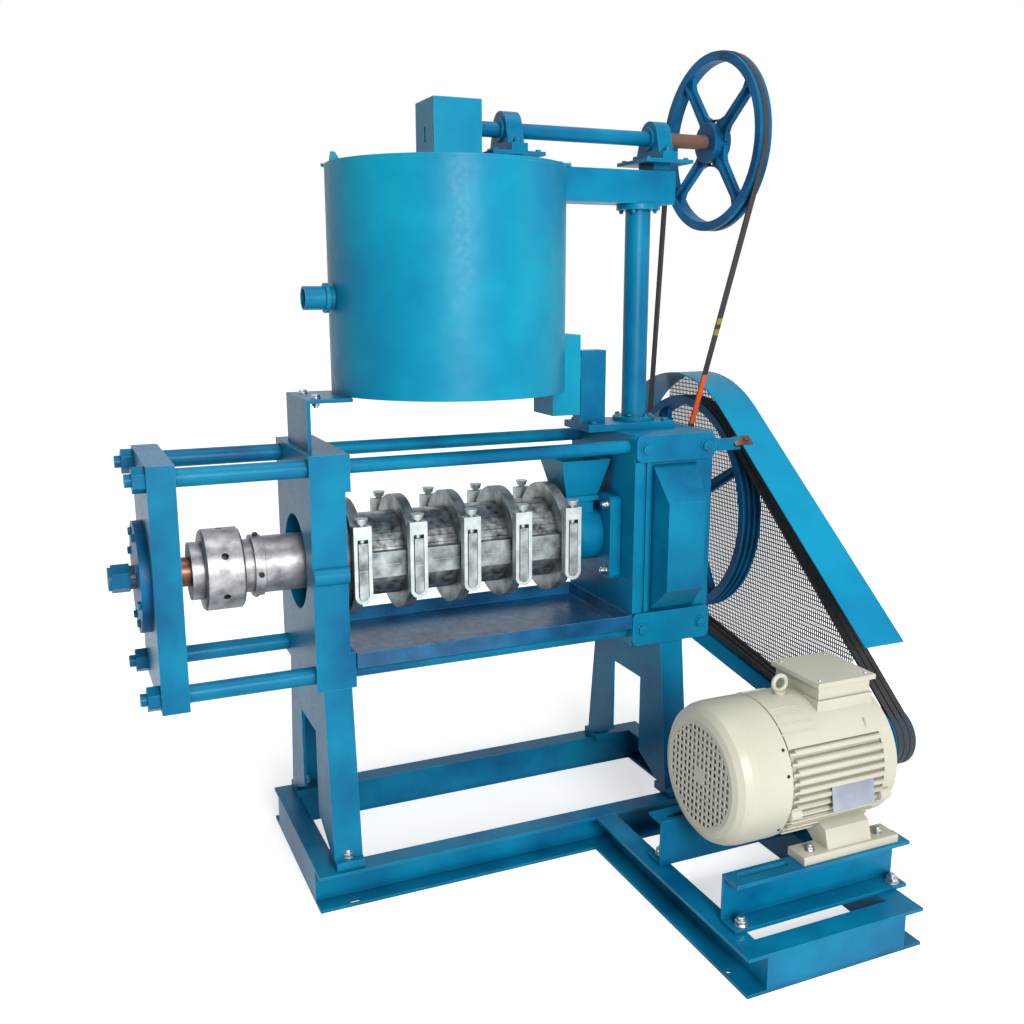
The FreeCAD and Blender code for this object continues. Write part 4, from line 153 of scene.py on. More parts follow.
# Hot-rolled plate of the hoops, grey with oil and scale, pale where the rims were turned, with painted shade
# in its corners.
oiled_plate = finish("oiled_rolled_steel", "#a7b0b2", "#565b5d", patch=45, grain=4, depth=0.12,
                     rough=(0.34, 0.52), worn="#e2e8e8", corner_shade="#15181a", Metallic=0.7)
# Ground edges of the lining bars, with painted shade darkening the gaps between them.
bar_steel = finish("ground_bar_steel", "#aeb5b7", "#3d3935", patch=24, grain=2, stretch=(30, 1, 1),
                   depth=0.06, rough=(0.3, 0.45), corner_shade="#22201d", soften=0.6, Metallic=0.8)
# Shot-blasted cast links, pale and a little rough, with painted shade in their corners.
link_steel = finish("blasted_cast_links", "#c3cccd", "#a0abac", patch=35, grain=1.5, depth=0.12,
                    rough=(0.42, 0.56), worn="#d5dada", corner_shade="#47504f", Metallic=0.7)
# Bare shaft steel, brown with old oil.
shaft_steel = finish("oil_browned_shaft_steel", "#7a5442", "#4d362c", patch=50, grain=1.5,
                     stretch=(0.6, 30, 30), depth=0.05, rough=(0.3, 0.5), Metallic=0.85)
# Zinc plate on screws, bright with a little grey.
zinc_plate = finish("zinc_plated_screws", "#c9cdd0", "#9ea3a7", patch=20, grain=1.2, depth=0.03,
                    rough=(0.25, 0.38), soften=0.8, Metallic=1.0)
# Black oxide on small socket screws: dark, dull and slightly blue.
black_oxide = finish("black_oxide_screws", "#34383c", "#202326", patch=20, grain=1.2, depth=0.03,
                     rough=(0.4, 0.5), soften=0.6, Metallic=0.8)
# Rubberised cloth of the V-belts, dull and slightly dusty.
belt_cloth = finish("rubberised_belt_cloth", "#2a2b2e", "#191a1c", patch=90, grain=1.4, depth=0.1,
                    rough=(0.6, 0.8), soften=1)
machined_iron = finish("machined_cast_iron", "#8a8c8e", "#5f6062", patch=50, grain=2, depth=0.06,
                       rough=(0.35, 0.5), Metallic=1.0)
tin_bronze = finish("tin_bronze", "#a98a4e", "#7d6436", patch=50, grain=2, depth=0.05,
                    rough=(0.3, 0.45), Metallic=1.0)
# Brushed aluminium of the blank rating plate.
plate_alloy = finish("brushed_aluminium_plate", "#9da2ae", "#898f9d", patch=60, grain=0.8,
                     stretch=(30, 1, 1), depth=0.02, rough=(0.35, 0.45), soften=0.4, Metallic=0.6)

FINISHES = {
    press_enamel: ["kettle_drive_shaft"],
    kettle_enamel: ["kettle_shell", "kettle_lid", "kettle_gear_housing", "discharge_duct"],
    wheel_enamel: ["drive_pulley", "kettle_pulley", "motor_pulley", "kettle_drive_sheave",
                   "end_bearing_cover"],
    guard_enamel: ["belt_guard", "guard_panel"],
    tray_enamel: ["oil_tray"],
    motor_powder: ["motor_frame", "fan_cover", "terminal_box"],
    turned_steel: ["choke_nut", "choke_sleeve", "motor_rotor", "shaft_bearings", "kettle_gate"],
    oiled_plate: ["cage_upper_half", "cage_lower_half"],
    bar_steel: ["cage_bars"],
    link_steel: ["front_cage_clamps", "rear_cage_clamps"],
    shaft_steel: ["worm_shaft", "pinion_shaft"],
    belt_cloth: ["drive_belts", "kettle_belt"],
    machined_iron: ["press_worm", "bull_gear", "bevel_pinion", "stirrer"],
    tin_bronze: ["bevel_gear"],
}


def paint_part(node, skin, chosen):
    """Give a second finish to the faces of a node whose centre passes the test."""
    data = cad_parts[node].data
    data.materials.append(skin)
    second = len(data.materials) - 1
    for face in data.polygons:
        if chosen(face.center):
            face.material_index = second


def dress_nodes():
    dressed = {name: skin for skin, names in FINISHES.items() for name in names}
    for name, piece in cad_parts.items():
        piece.data.materials.clear()
        piece.data.materials.append(dressed.get(name, press_enamel))
        bpy.ops.object.select_all(action="DESELECT")
    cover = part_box("end_bearing_cover")
    paint_part("worm_shaft", press_enamel, lambda at: at.x < cover[LOW].x)


# ---- making pieces -------------------------------------------------------------------------
def begin(kind, **settings):
    """A new primitive, alone, in edit mode with all of it selected."""
    if bpy.context.object and bpy.context.object.mode == "EDIT":
        bpy.ops.object.mode_set(mode="OBJECT")
    bpy.ops.object.select_all(action="DESELECT")
    more(kind, **settings)
    bpy.ops.object.mode_set(mode="EDIT")
    bpy.ops.mesh.select_mode(type="FACE")
    return bpy.context.object


def more(kind, **settings):
    """Another primitive; in edit mode it joins the piece in hand."""
    getattr(bpy.ops.mesh, f"primitive_{kind}_add")(**settings)


def pick(chosen):
    """Select only the faces whose centre and normal pass the test."""
    bpy.ops.mesh.select_all(action="DESELECT")
    data = bpy.context.object.data
    cage = bmesh.from_edit_mesh(data)
    for face in cage.faces:
        face.select_set(chosen(face.calc_center_median(), face.normal))
    bmesh.update_edit_mesh(data)


def raise_faces(lift, narrow=1.0, about=(0, 0, 0)):
    """Extrude what is selected by a vector, then scale it about a point."""
    bpy.ops.mesh.extrude_region_move(TRANSFORM_OT_translate={"value": lift})
    if narrow != 1.0:
        bpy.ops.transform.resize(value=(narrow, narrow, narrow), center_override=about)


def close(name, skin, bevel=0.0, segments=2, smooth=35):
    """Leave edit mode, round the edges, shade the piece and give it its finish."""
    if bpy.context.object.mode == "EDIT":
        bpy.ops.object.mode_set(mode="OBJECT")
    thing = bpy.context.object
    thing.name = name
    if bevel:
        rounding = thing.modifiers.new("rounded_edges", "BEVEL")
        rounding.width = bevel
        rounding.segments = segments
        rounding.limit_method = "ANGLE"
        rounding.angle_limit = math.radians(30)
        bpy.ops.object.modifier_apply(modifier=rounding.name)
    bpy.ops.object.transform_apply(location=True, rotation=True, scale=True)
    bpy.ops.object.shade_smooth_by_angle(angle=math.radians(smooth))
    thing.data.materials.clear()
    thing.data.materials.append(skin)
    return thing


def seat(thing, body="frame"):
    """Let a finished piece ride on its body."""
    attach(thing, body)
    return thing


def join(name, pieces, body="frame"):
    """Several finished pieces as one."""
    bpy.ops.object.select_all(action="DESELECT")
    for piece in pieces:
        piece.select_set(True)
    bpy.context.view_layer.objects.active = pieces[0]
    bpy.ops.object.join()
    bpy.context.object.name = name
    return seat(bpy.context.object, body)


TURN = {"+z": Matrix.Identity(4), "-z": Matrix.Rotation(math.pi, 4, "X"),
        "-x": Matrix.Rotation(-math.pi / 2, 4, "Y"), "+x": Matrix.Rotation(math.pi / 2, 4, "Y"),
        "-y": Matrix.Rotation(math.pi / 2, 4, "X"), "+y": Matrix.Rotation(-math.pi / 2, 4, "X")}


def spread_copies(name, master, spots, size, way="+z", skin=None, body="frame", spin=0.0):
    """Copies of a master at each spot, each turned a little further, joined into one piece."""
    bpy.ops.object.select_all(action="DESELECT")
    for number, spot in enumerate(spots):
        copy = bpy.data.objects.new(f"{name}_{number}", master.data.copy())
        about = Matrix.Rotation(spin + 0.7 * number, 4, "Z")
        turn = TURN[way] if isinstance(way, str) else way
        copy.data.transform(Matrix.Translation(Vector(spot)) @ turn @ about @ Matrix.Scale(size, 4))
        if skin:
            copy.data.materials.clear()
            copy.data.materials.append(skin)
        bpy.context.collection.objects.link(copy)
        copy.select_set(True)
        bpy.context.view_layer.objects.active = copy
    if len(spots) > 1:
        bpy.ops.object.join()
    whole = bpy.context.object
    whole.name = name
    return seat(whole, body)


# ---- masters, one unit of thread across, standing on zero ------------------------------------
def hex_nut_master():
    """A chamfered nut on its washer, with the end of its stud through it."""
    begin("cylinder", vertices=28, radius=0.98, depth=0.17, location=(0, 0, 0.085))
    more("cylinder", vertices=6, radius=0.86, depth=0.68, location=(0, 0, 0.51))
    pick(lambda at, way: way.z > 0.9 and at.z > 0.8)
    raise_faces((0, 0, 0.09), 0.88, (0, 0, 0.94))
    more("cylinder", vertices=18, radius=0.5, depth=1.2, location=(0, 0, 0.6))
    pick(lambda at, way: way.z > 0.9 and at.z > 1.1)
    raise_faces((0, 0, 0.08), 0.82, (0, 0, 1.28))
    return close("hex_nut_master", zinc_plate, bevel=0.03)


def hex_bolt_master():
    """A bolt's chamfered head, slightly dished on top, on its washer."""
    begin("cylinder", vertices=28, radius=0.98, depth=0.16, location=(0, 0, 0.08))
    more("cylinder", vertices=6, radius=0.86, depth=0.5, location=(0, 0, 0.4))
    pick(lambda at, way: way.z > 0.9 and at.z > 0.6)
    raise_faces((0, 0, 0.1), 0.87, (0, 0, 0.75))
    bpy.ops.mesh.inset(thickness=0.12)
    raise_faces((0, 0, -0.04))
    return close("hex_bolt_master", zinc_plate, bevel=0.03)


def socket_screw_master():
    """A cap screw's round head with its key hole."""
    begin("cylinder", vertices=24, radius=0.75, depth=0.9, location=(0, 0, 0.45))
    pick(lambda at, way: way.z > 0.9)
    bpy.ops.mesh.inset(thickness=0.3)
    raise_faces((0, 0, -0.5), 0.96, (0, 0, 0.4))
    return close("socket_screw_master", black_oxide, bevel=0.06)


def pan_screw_master():
    """A small domed screw head, dished in the middle."""
    begin("cylinder", vertices=20, radius=0.95, depth=0.25, location=(0, 0, 0.125))
    pick(lambda at, way: way.z > 0.9)
    raise_faces((0, 0, 0.2), 0.82, (0, 0, 0.45))
    raise_faces((0, 0, 0.12), 0.62, (0, 0, 0.57))
    bpy.ops.mesh.inset(thickness=0.18)
    raise_faces((0, 0, -0.12), 0.8, (0, 0, 0.45))
    return close("pan_screw_master", zinc_plate, bevel=0.02)


# ---- fasteners -----------------------------------------------------------------------------
def ring(count, radius, centre, first=0.0):
    """Places round an axis along X: (x, y, z) for each of count."""
    turns = [first + 2 * math.pi * k / count for k in range(count)]
    return [(centre[0], centre[1] + radius * math.cos(t), centre[2] + radius * math.sin(t)) for t in turns]


def corners(x, y, z):
    """Every pairing of two x, two y and two z values, or of single ones."""
    return [(a, b, c) for a in x for b in y for c in z]


def press_fasteners(nut, bolt):
    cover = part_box("end_bearing_cover")
    axis = (cover[LOW].z + cover[HIGH].z) / 2
    spread_copies("end_cover_screws", bolt, ring(8, 0.118, (cover[LOW].x, 0, axis), 0.39), 12 * MM, "-x",
                  skin=press_enamel)
    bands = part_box("gearbox_bands")
    levels = (bands[LOW].z + 0.048, bands[HIGH].z - 0.038)
    spread_copies("gearbox_band_bolts", bolt,
                  corners((bands[LOW].x + 0.03, bands[HIGH].x - 0.03), (bands[LOW].y,), levels),
                  18 * MM, "-y", skin=press_enamel)
    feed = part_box("feed_housing")
    plate_x = 0.29
    inset = 0.025
    spots = corners((plate_x,), (feed[LOW].y + inset, feed[HIGH].y - inset),
                    (feed[LOW].z + inset, feed[HIGH].z - inset))
    spread_copies("feed_flange_bolts", nut, spots, 14 * MM, "-x")
    for side in ("left", "right"):
        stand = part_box(f"{side}_stand")
        middle = (stand[LOW].x + stand[HIGH].x) / 2
        out = stand[HIGH].y - 0.03
        spots = corners((middle,), (-out, out), (stand[LOW].z + 0.022,))
        spread_copies(f"{side}_stand_foot_bolts", nut, spots, 16 * MM)
    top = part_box("gearbox_top_plate")
    spread_copies("top_plate_bolts", bolt, corners((top[LOW].x + 0.024, top[HIGH].x - 0.024),
                                                   (top[LOW].y + 0.02, top[HIGH].y - 0.02), (top[HIGH].z,)),
                  12 * MM, skin=press_enamel)


def kettle_fasteners(nut, bolt):
    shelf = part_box("left_kettle_support")
    plate = 0.01
    spots = corners((shelf[LOW].x + 0.035,), (-0.07, 0.07), (shelf[HIGH].z,))
    spread_copies("shelf_bolts", bolt, spots, 14 * MM)
    under = [(x, y, z - plate) for x, y, z in spots]
    spread_copies("shelf_nuts", nut, under, 12 * MM, "-z")
    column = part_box("column")
    at = ((column[LOW].x + column[HIGH].x) / 2, (column[LOW].y + column[HIGH].y) / 2)
    reach = 0.035
    feet = corners((at[0] - reach, at[0] + reach), (at[1] - reach, at[1] + reach), (column[LOW].z + 0.015,))
    spread_copies("column_foot_bolts", bolt, feet, 9 * MM, skin=press_enamel)
    for side in ("left", "right"):
        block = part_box(f"{side}_pillow_block")
        middle = (block[LOW].x + block[HIGH].x) / 2
        seat_top = block[HIGH].z - 0.108
        spread_copies(f"{side}_pillow_foot_bolts", nut,
                      corners((middle,), (block[LOW].y + 0.018, block[HIGH].y - 0.018), (seat_top + 0.02,)),
                      12 * MM, skin=press_enamel)
        spread_copies(f"{side}_seat_plate_bolts", bolt,
                      corners((block[LOW].x + 0.014, block[HIGH].x - 0.014),
                              (block[LOW].y + 0.018, block[HIGH].y - 0.018), (seat_top,)),
                      9 * MM, skin=press_enamel)
    collar_top = column[HIGH].z - 0.015
    heads = [(x, y, collar_top) for x, y, z in feet]
    spread_copies("column_head_nuts", nut, heads, 8 * MM, "-z", skin=press_enamel)


def motor_axis():
    """The motor's box, and the place of its shaft across and up."""
    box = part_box("motor_frame")
    shaft_rise = 0.188
    return box, (box[LOW].y + box[HIGH].y) / 2, box[LOW].z + shaft_rise


def motor_fasteners(nut, pan):
    motor, middle, axis = motor_axis()
    foot_top = motor[LOW].z + 0.02
    half_span = 0.159
    spread_copies("motor_foot_bolts", nut, corners((0.438, 0.648), (middle - half_span, middle + half_span),
                                                   (foot_top,)), 13 * MM)
    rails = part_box("motor_rails")
    flange_top = rails[LOW].z + 0.009
    spots = corners((rails[LOW].x + 0.03, rails[HIGH].x - 0.03), (rails[LOW].y + 0.02, rails[HIGH].y - 0.02),
                    (flange_top,))
    spread_copies("rail_bolts", nut, spots, 18 * MM)
    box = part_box("terminal_box")
    inset = 0.018
    spots = corners((box[LOW].x + inset, box[HIGH].x - inset), (box[LOW].y + inset, box[HIGH].y - inset),
                    (box[HIGH].z,))
    spread_copies("terminal_lid_screws", pan, spots, 5 * MM)
    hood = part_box("fan_cover")
    radius = (hood[HIGH].z - hood[LOW].z) / 2
    for number, turn in enumerate((145, 165, 215, 325, 15, 35)):
        way = math.radians(turn)
        spot = (hood[HIGH].x - 0.012, middle + radius * math.cos(way), axis + radius * math.sin(way))
        outward = Matrix.Rotation(way - math.pi / 2, 4, "X")
        spread_copies(f"hood_screw_{number}", pan, [spot], 4.5 * MM, outward, skin=black_oxide)


# ---- other pieces --------------------------------------------------------------------------
def rating_plate(pan):
    """A blank alloy plate with rounded corners, riveted across the motor's fins."""
    _, middle, axis = motor_axis()
    radius = 0.1805
    tilt = math.radians(-10)
    begin("cube", size=1, location=(0, 0, 0), scale=(0.128, 0.0016, 0.074))
    plate = close("motor_rating_plate", plate_alloy, bevel=0.0005)
    spot = (0.545, middle - radius * math.cos(tilt) - MM, axis + radius * math.sin(tilt))
    lean = Matrix.Translation(spot) @ Matrix.Rotation(tilt, 4, "X")
    plate.data.transform(lean)
    seat(plate)
    for number, (x, z) in enumerate(((-0.058, -0.031), (0.058, -0.031), (-0.058, 0.031), (0.058, 0.031))):
        spot = lean @ Vector((x, -0.0008, z))
        spread_copies(f"plate_rivet_{number}", pan, [spot], 2 * MM, lean.to_3x3().to_4x4() @ TURN["-y"])


def motor_ears(nut):
    """Short lugs at both ends of the barrel that the end shields' long screws pass through."""
    motor, middle, axis = motor_axis()
    reach = 0.174
    for number, turn in enumerate((200, 340)):
        way = math.radians(turn)
        for end, x in enumerate((motor[LOW].x + 0.04, motor[HIGH].x - 0.055)):
            begin("cylinder", vertices=24, radius=0.015, depth=0.03, rotation=(0, math.pi / 2, 0))
            pick(lambda at, face: abs(face.x) > 0.9)
            bpy.ops.mesh.inset(thickness=0.004)
            ear = close(f"shield_ear_{number}_{end}", motor_powder, bevel=0.0015)
            across = middle + reach * math.cos(way)
            up = axis + reach * math.sin(way)
            ear.data.transform(Matrix.Translation((x, across, up)))
            seat(ear)
            spread_copies(f"shield_ear_nut_{number}_{end}", nut, [(x + 0.015, across, up)], 7 * MM, "+x")


def motor_fin_roots():
    """The cast fins' thick roots on both sides of the barrel, tapering to the fins' tips."""
    motor, middle, axis = motor_axis()
    barrel, tip = 0.162, 0.1772
    pitch, lowest, count = 0.022, -0.132, 11
    first, last = motor[LOW].x + 0.045, motor[HIGH].x - 0.062
    fins = []
    for number in range(count):
        level = lowest + number * pitch
        inner, outer = (math.sqrt(r * r - level * level) for r in (barrel, tip))
        for side in (-1, 1):
            begin("cube", size=1, location=((first + last) / 2, side * (inner - 0.004), 0),
                  scale=(last - first, 0.008, 0.017))
            pick(lambda at, way: way.y * side > 0.9)
            raise_faces((0, side * (outer - inner - MM), 0))
            bpy.ops.transform.resize(value=(1, 1, 0.62), center_override=(0, 0, 0))
            fin = close(f"fin_root_{number}_{side}", motor_powder, bevel=0.0012)
            fin.data.transform(Matrix.Translation((0, middle, axis + level)))
            fins.append(fin)
    join("motor_fin_roots", fins)


def shoulder_ribs():
    """Low cast ribs over the barrel's shoulder, and the small gusset beside the terminal box."""
    motor, middle, axis = motor_axis()
    radius = 0.1765
    ribs = []
    for number, turn in enumerate((20, 28, 36, 44)):
        for side in (-1, 1):
            begin("cube", size=1, location=(0, 0, 0), scale=(0.075 + 0.03 * (number > 1), 0.005, 0.007))
            pick(lambda at, way: way.z > 0.9)
            bpy.ops.transform.resize(value=(0.96, 0.5, 1), center_override=(0, 0, 0))
            rib = close(f"shoulder_rib_{number}_{side}", motor_powder, bevel=0.0008)
            lean = Matrix.Rotation(math.radians(-side * turn), 4, "X")
            rib.data.transform(Matrix.Translation((motor[LOW].x + 0.075, middle, axis)) @ lean
                               @ Matrix.Translation((0, 0, radius)))
            ribs.append(rib)
    begin("cube", size=1, location=(0, 0, 0), scale=(0.005, 0.034, 0.012))
    pick(lambda at, way: way.z > 0.9)
    bpy.ops.transform.resize(value=(1, 0.35, 1), center_override=(0, 0.012, 0))
    gusset = close("gusset", motor_powder, bevel=0.0008)
    lean = Matrix.Rotation(math.radians(48), 4, "X")
    gusset.data.transform(Matrix.Translation((motor[HIGH].x - 0.095, middle, axis)) @ lean
                          @ Matrix.Translation((0, 0, radius + 0.003)))
    ribs.append(gusset)
    join("shoulder_ribs", ribs)


def collar_screws(screw):
    """Small locking screws that stand radially on the choke sleeve's collar."""
    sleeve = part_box("choke_sleeve")
    axis = (sleeve[LOW].z + sleeve[HIGH].z) / 2
    radius = (sleeve[HIGH].z - sleeve[LOW].z) / 2
    x = sleeve[LOW].x + 0.041
    for number, turn in enumerate((95, 185, 275, 5)):
        way = math.radians(turn)
        outward = Matrix.Rotation(way - math.pi / 2, 4, "X")
        spot = (x, (radius - 0.001) * math.cos(way), axis + (radius - 0.001) * math.sin(way))
        spread_copies(f"collar_screw_{number}", screw, [spot], 9 * MM, outward, body="choke")


def brace_clip(bolt):
    """The tab at the brace's end, lying on the guard's band under a bolt."""
    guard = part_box("belt_guard")
    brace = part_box("guard_brace")
    slope = math.radians(38.7)
    begin("cube", size=1, location=(0.012, 0, 0.003), scale=(0.05, 0.036, 0.006))
    pick(lambda at, way: way.x < -0.9)
    raise_faces((-0.012, 0, -0.004), 0.9, (-0.024, 0, -0.001))
    clip = close("brace_clip", shaft_steel, bevel=0.0012)
    centre = (brace[LOW] + brace[HIGH]) / 2
    spot = Vector((guard[LOW].x, centre.y, centre.z + 0.0055))
    lie = Matrix.Translation(spot) @ Matrix.Rotation(slope, 4, "X")
    clip.data.transform(lie)
    seat(clip)
    spread_copies("brace_clip_bolt", bolt, [lie @ Vector((0.018, 0, 0.006))], 11 * MM,
                  Matrix.Rotation(slope, 4, "X"), skin=shaft_steel)


def rim_lugs(bolt):
    """Small clamps round the kettle's rim that hold its lid down."""
    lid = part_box("kettle_lid")
    centre = ((lid[LOW].x + lid[HIGH].x) / 2, (lid[LOW].y + lid[HIGH].y) / 2)
    radius = (lid[HIGH].y - lid[LOW].y) / 2
    begin("cube", size=1, location=(radius - 0.012, 0, 0.004), scale=(0.036, 0.026, 0.008))
    pick(lambda at, way: way.x > 0.9)
    raise_faces((0.006, 0, 0))
    pick(lambda at, way: way.z < -0.9 and at.x > radius + 0.003)
    raise_faces((0, 0, -0.02))
    lug = close("rim_lug_master", kettle_enamel, bevel=0.0012)
    rim = 1.895
    for number in range(2):
        turn = Matrix.Rotation(math.radians(155 + 180 * number), 4, "Z")
        place = Matrix.Translation((centre[0], centre[1], rim)) @ turn
        spread_copies(f"rim_lug_{number}", lug, [place.translation], 1.0, turn)
        spread_copies(f"rim_lug_bolt_{number}", bolt, [place @ Vector((radius - 0.016, 0, 0.008))], 7 * MM,
                      skin=kettle_enamel)
    bpy.data.objects.remove(lug)


def punched_panel():
    """The guard's outer side: thin sheet punched with rows of holes, cut to the guard's outline."""
    low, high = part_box("guard_panel")
    pitch, hole = 0.012, 0.0092
    across, up = high.y - low.y, high.z - low.z
    middle = ((low.x + high.x) / 2, (low.y + high.y) / 2, (low.z + high.z) / 2)
    columns, rows = int(across / pitch), int(up / pitch)
    begin("grid", x_subdivisions=columns, y_subdivisions=rows, size=1, location=middle,
          rotation=(math.pi / 2, 0, math.pi / 2), scale=(columns * pitch + pitch, rows * pitch + pitch, 1))
    bpy.ops.mesh.inset(thickness=(pitch - hole) / 2, use_individual=True)
    bpy.ops.mesh.delete(type="FACE")
    sheet = close("punched_guard_panel", punched_sheet)
    outline = bpy.data.objects.new("panel_outline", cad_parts["guard_panel"].data.copy())
    bpy.context.collection.objects.link(outline)
    bpy.ops.object.select_all(action="DESELECT")
    outline.select_set(True)
    bpy.context.view_layer.objects.active = outline
    bpy.ops.object.mode_set(mode="EDIT")
    bpy.ops.mesh.select_all(action="SELECT")
    bpy.ops.mesh.remove_doubles(threshold=1e-5)
    bpy.ops.transform.resize(value=(4, 1, 1), center_override=middle)
    bpy.ops.object.mode_set(mode="OBJECT")
    bpy.ops.object.select_all(action="DESELECT")
    sheet.select_set(True)
    bpy.context.view_layer.objects.active = sheet
    trim = sheet.modifiers.new("trim", "BOOLEAN")
    trim.operation = "INTERSECT"
    trim.solver = "EXACT"
    trim.object = outline
    bpy.ops.object.modifier_apply(modifier=trim.name)
    wall = sheet.modifiers.new("wall", "SOLIDIFY")
    wall.thickness = 0.0022
    wall.offset = 0
    bpy.ops.object.modifier_apply(modifier=wall.name)
    bpy.data.objects.remove(outline)
    sheet.data.materials.clear()
    sheet.data.materials.append(punched_sheet)
    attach(sheet, "frame")
    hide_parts("guard_panel")


def bare_shaft_end():
    """The kettle's drive shaft: enamel on its long run, oil-browned steel beyond the last bearing."""
    skin = press_enamel.copy()
    skin.name = "enamel_and_browned_steel"
    tree = skin.node_tree
    shader = tree.nodes["Principled BSDF"]
    enamel = shader.inputs["Base Color"].links[0].from_socket
    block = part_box("right_pillow_block")
    end_of_paint = (block[LOW].x + block[HIGH].x) / 2
    place = add(tree, "ShaderNodeSeparateXYZ", None,
                {"Vector": add(tree, "ShaderNodeTexCoord").outputs["Object"]})
    beyond = add(tree, "ShaderNodeMath", {"operation": "GREATER_THAN", 1: end_of_paint},
                 {0: place.outputs["X"]}).outputs[0]
    colour = add(tree, "ShaderNodeMix", {"data_type": "RGBA", 7: srgb("#6d5347")},
                 {0: beyond, 6: enamel}).outputs[2]
    tree.links.new(colour, shader.inputs["Base Color"])
    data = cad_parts["kettle_drive_shaft"].data
    data.materials.clear()
    data.materials.append(skin)


def belt_mark():
    """The kettle belt's own cloth, with an orange stretch and two yellow ticks painted on its front run."""
    skin = belt_cloth.copy()
    skin.name = "marked_belt_cloth"
    tree = skin.node_tree
    shader = tree.nodes["Principled BSDF"]
    cloth = shader.inputs["Base Color"].links[0].from_socket
    place = add(tree, "ShaderNodeSeparateXYZ", None,
                {"Vector": add(tree, "ShaderNodeTexCoord").outputs["Object"]})
    between_runs = 0.15
    front = add(tree, "ShaderNodeMath", {"operation": "LESS_THAN", 1: between_runs},
                {0: place.outputs["Y"]}).outputs[0]
    colour = cloth
    marks = ((1.245, 0.078, "#e0581c"), (1.453, 0.009, "#97801a"), (1.485, 0.009, "#97801a"))
    for middle, half, paint in marks:
        off = add(tree, "ShaderNodeMath", {"operation": "SUBTRACT", 1: middle},
                  {0: place.outputs["Z"]}).outputs[0]
        near = add(tree, "ShaderNodeMath", {"operation": "ABSOLUTE"}, {0: off}).outputs[0]
        inside = add(tree, "ShaderNodeMath", {"operation": "LESS_THAN", 1: half}, {0: near}).outputs[0]
        both = add(tree, "ShaderNodeMath", {"operation": "MULTIPLY"}, {0: inside, 1: front}).outputs[0]
        colour = add(tree, "ShaderNodeMix", {"data_type": "RGBA", 7: srgb(paint)},
                     {0: both, 6: colour}).outputs[2]
    tree.links.new(colour, shader.inputs["Base Color"])
    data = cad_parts["kettle_belt"].data
    data.materials.clear()
    data.materials.append(skin)


# ---- room, light and camera ----------------------------------------------------------------
def seen_rays(tree):
    """One for rays from the camera, or mirrored or let through on their way, and nought for light."""
    paths = add(tree, "ShaderNodeLightPath")
    mirrored = add(tree, "ShaderNodeMath", {"operation": "MAXIMUM"},
                   {0: paths.outputs["Is Glossy Ray"], 1: paths.outputs["Is Transmission Ray"]}).outputs[0]
    return add(tree, "ShaderNodeMath", {"operation": "MAXIMUM"},
               {0: paths.outputs["Is Camera Ray"], 1: mirrored}).outputs[0]


def stage_floor():
    bpy.ops.object.select_all(action="DESELECT")
    bpy.ops.mesh.primitive_plane_add(size=60, location=(0, 0, 0))
    floor = bpy.context.object
    floor.name = "floor"
    paper = bpy.data.materials.new("white_backdrop_paper")
    paper.use_nodes = True
    tree = paper.node_tree
    shader = tree.nodes["Principled BSDF"]
    shader.inputs["Base Color"].default_value = srgb("#f0f1f2")
    shader.inputs["Roughness"].default_value = 0.95
    reach = add(tree, "ShaderNodeVectorMath", {"operation": "LENGTH"},
                {0: add(tree, "ShaderNodeTexCoord").outputs["Object"]}).outputs["Value"]
    rise = add(tree, "ShaderNodeMapRange", {"From Min": 0.8, "From Max": 2.2, "To Min": 0.6, "To Max": 1.0},
               {"Value": reach}).outputs["Result"]
    power = add(tree, "ShaderNodeMath", {"operation": "MULTIPLY"}, {0: rise, 1: seen_rays(tree)}).outputs[0]
    glow = add(tree, "ShaderNodeEmission", {"Color": (1, 1, 1, 1)}, {"Strength": power})
    both = add(tree, "ShaderNodeAddShader", None, {0: shader.outputs[0], 1: glow.outputs[0]})
    tree.links.new(both.outputs[0], tree.nodes["Material Output"].inputs["Surface"])
    floor.data.materials.append(paper)


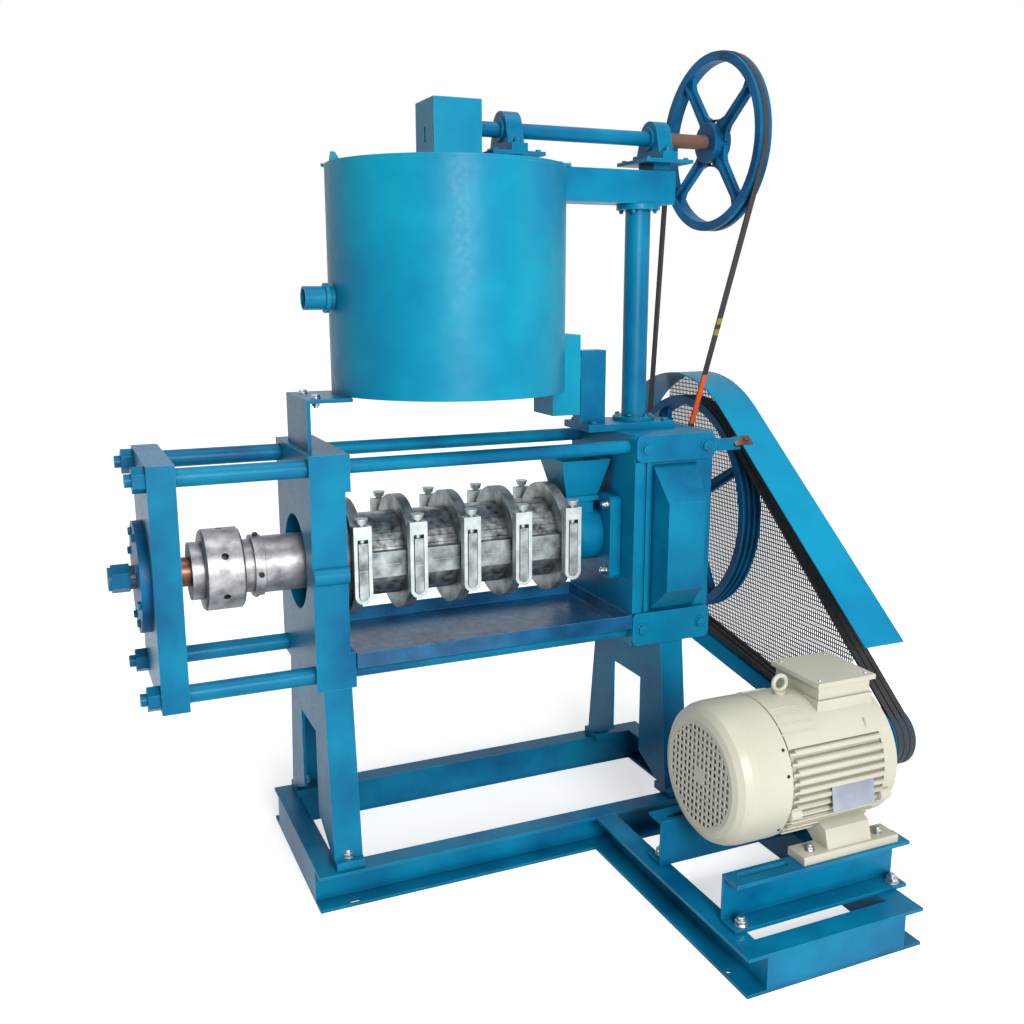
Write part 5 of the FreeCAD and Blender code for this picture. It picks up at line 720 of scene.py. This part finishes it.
def area_lamp(name, where, toward, size, power):
    lamp = bpy.data.lights.new(name, "AREA")
    lamp.size = size
    lamp.energy = power
    holder = bpy.data.objects.new(name, lamp)
    holder.location = where
    holder.rotation_euler = (Vector(toward) - Vector(where)).to_track_quat("-Z", "Y").to_euler()
    bpy.context.collection.objects.link(holder)


def studio():
    world = bpy.data.worlds.new("studio")
    bpy.context.scene.world = world
    world.use_nodes = True
    tree = world.node_tree
    ground = tree.nodes["Background"]
    ground.inputs["Color"].default_value = srgb("#eef2f5")
    ground.inputs["Strength"].default_value = 0.17
    bright = add(tree, "ShaderNodeBackground", {"Color": (1, 1, 1, 1), "Strength": 1.0})
    seen = add(tree, "ShaderNodeMixShader", None, {0: seen_rays(tree), 1: ground.outputs[0],
                                                   2: bright.outputs[0]})
    tree.links.new(seen.outputs[0], tree.nodes["World Output"].inputs["Surface"])
    area_lamp("front_softbox", (-0.7, -4.8, 2.3), (0, 0, 0.9), 1.7, 225)
    area_lamp("top_softbox", (0.2, -0.8, 4.8), (0, 0, 0.9), 2.4, 70)
    area_lamp("right_softbox", (4.2, -2.6, 2.2), (0, 0, 0.9), 1.2, 16)
    bpy.context.scene.view_settings.view_transform = "Standard"


def camera():
    eye = bpy.data.cameras.new("camera")
    eye.lens = 37.76
    eye.sensor_width = 36
    holder = bpy.data.objects.new("camera", eye)
    holder.location = (-1.1904, -2.767, 1.590)
    holder.rotation_euler = (math.radians(90 - 11.92), 0, math.radians(-23.88))
    bpy.context.collection.objects.link(holder)
    bpy.context.scene.camera = holder


dress_nodes()
belt_mark()
bare_shaft_end()
hex_nut = hex_nut_master()
hex_bolt = hex_bolt_master()
socket_screw = socket_screw_master()
pan_screw = pan_screw_master()
press_fasteners(hex_nut, hex_bolt)
kettle_fasteners(hex_nut, hex_bolt)
motor_fasteners(hex_nut, pan_screw)
rating_plate(pan_screw)
motor_ears(hex_nut)
motor_fin_roots()
shoulder_ribs()
collar_screws(socket_screw)
brace_clip(hex_bolt)
rim_lugs(hex_bolt)
for master in (hex_nut, hex_bolt, socket_screw, pan_screw):
    bpy.data.objects.remove(master)
punched_panel()
stage_floor()
studio()
camera()
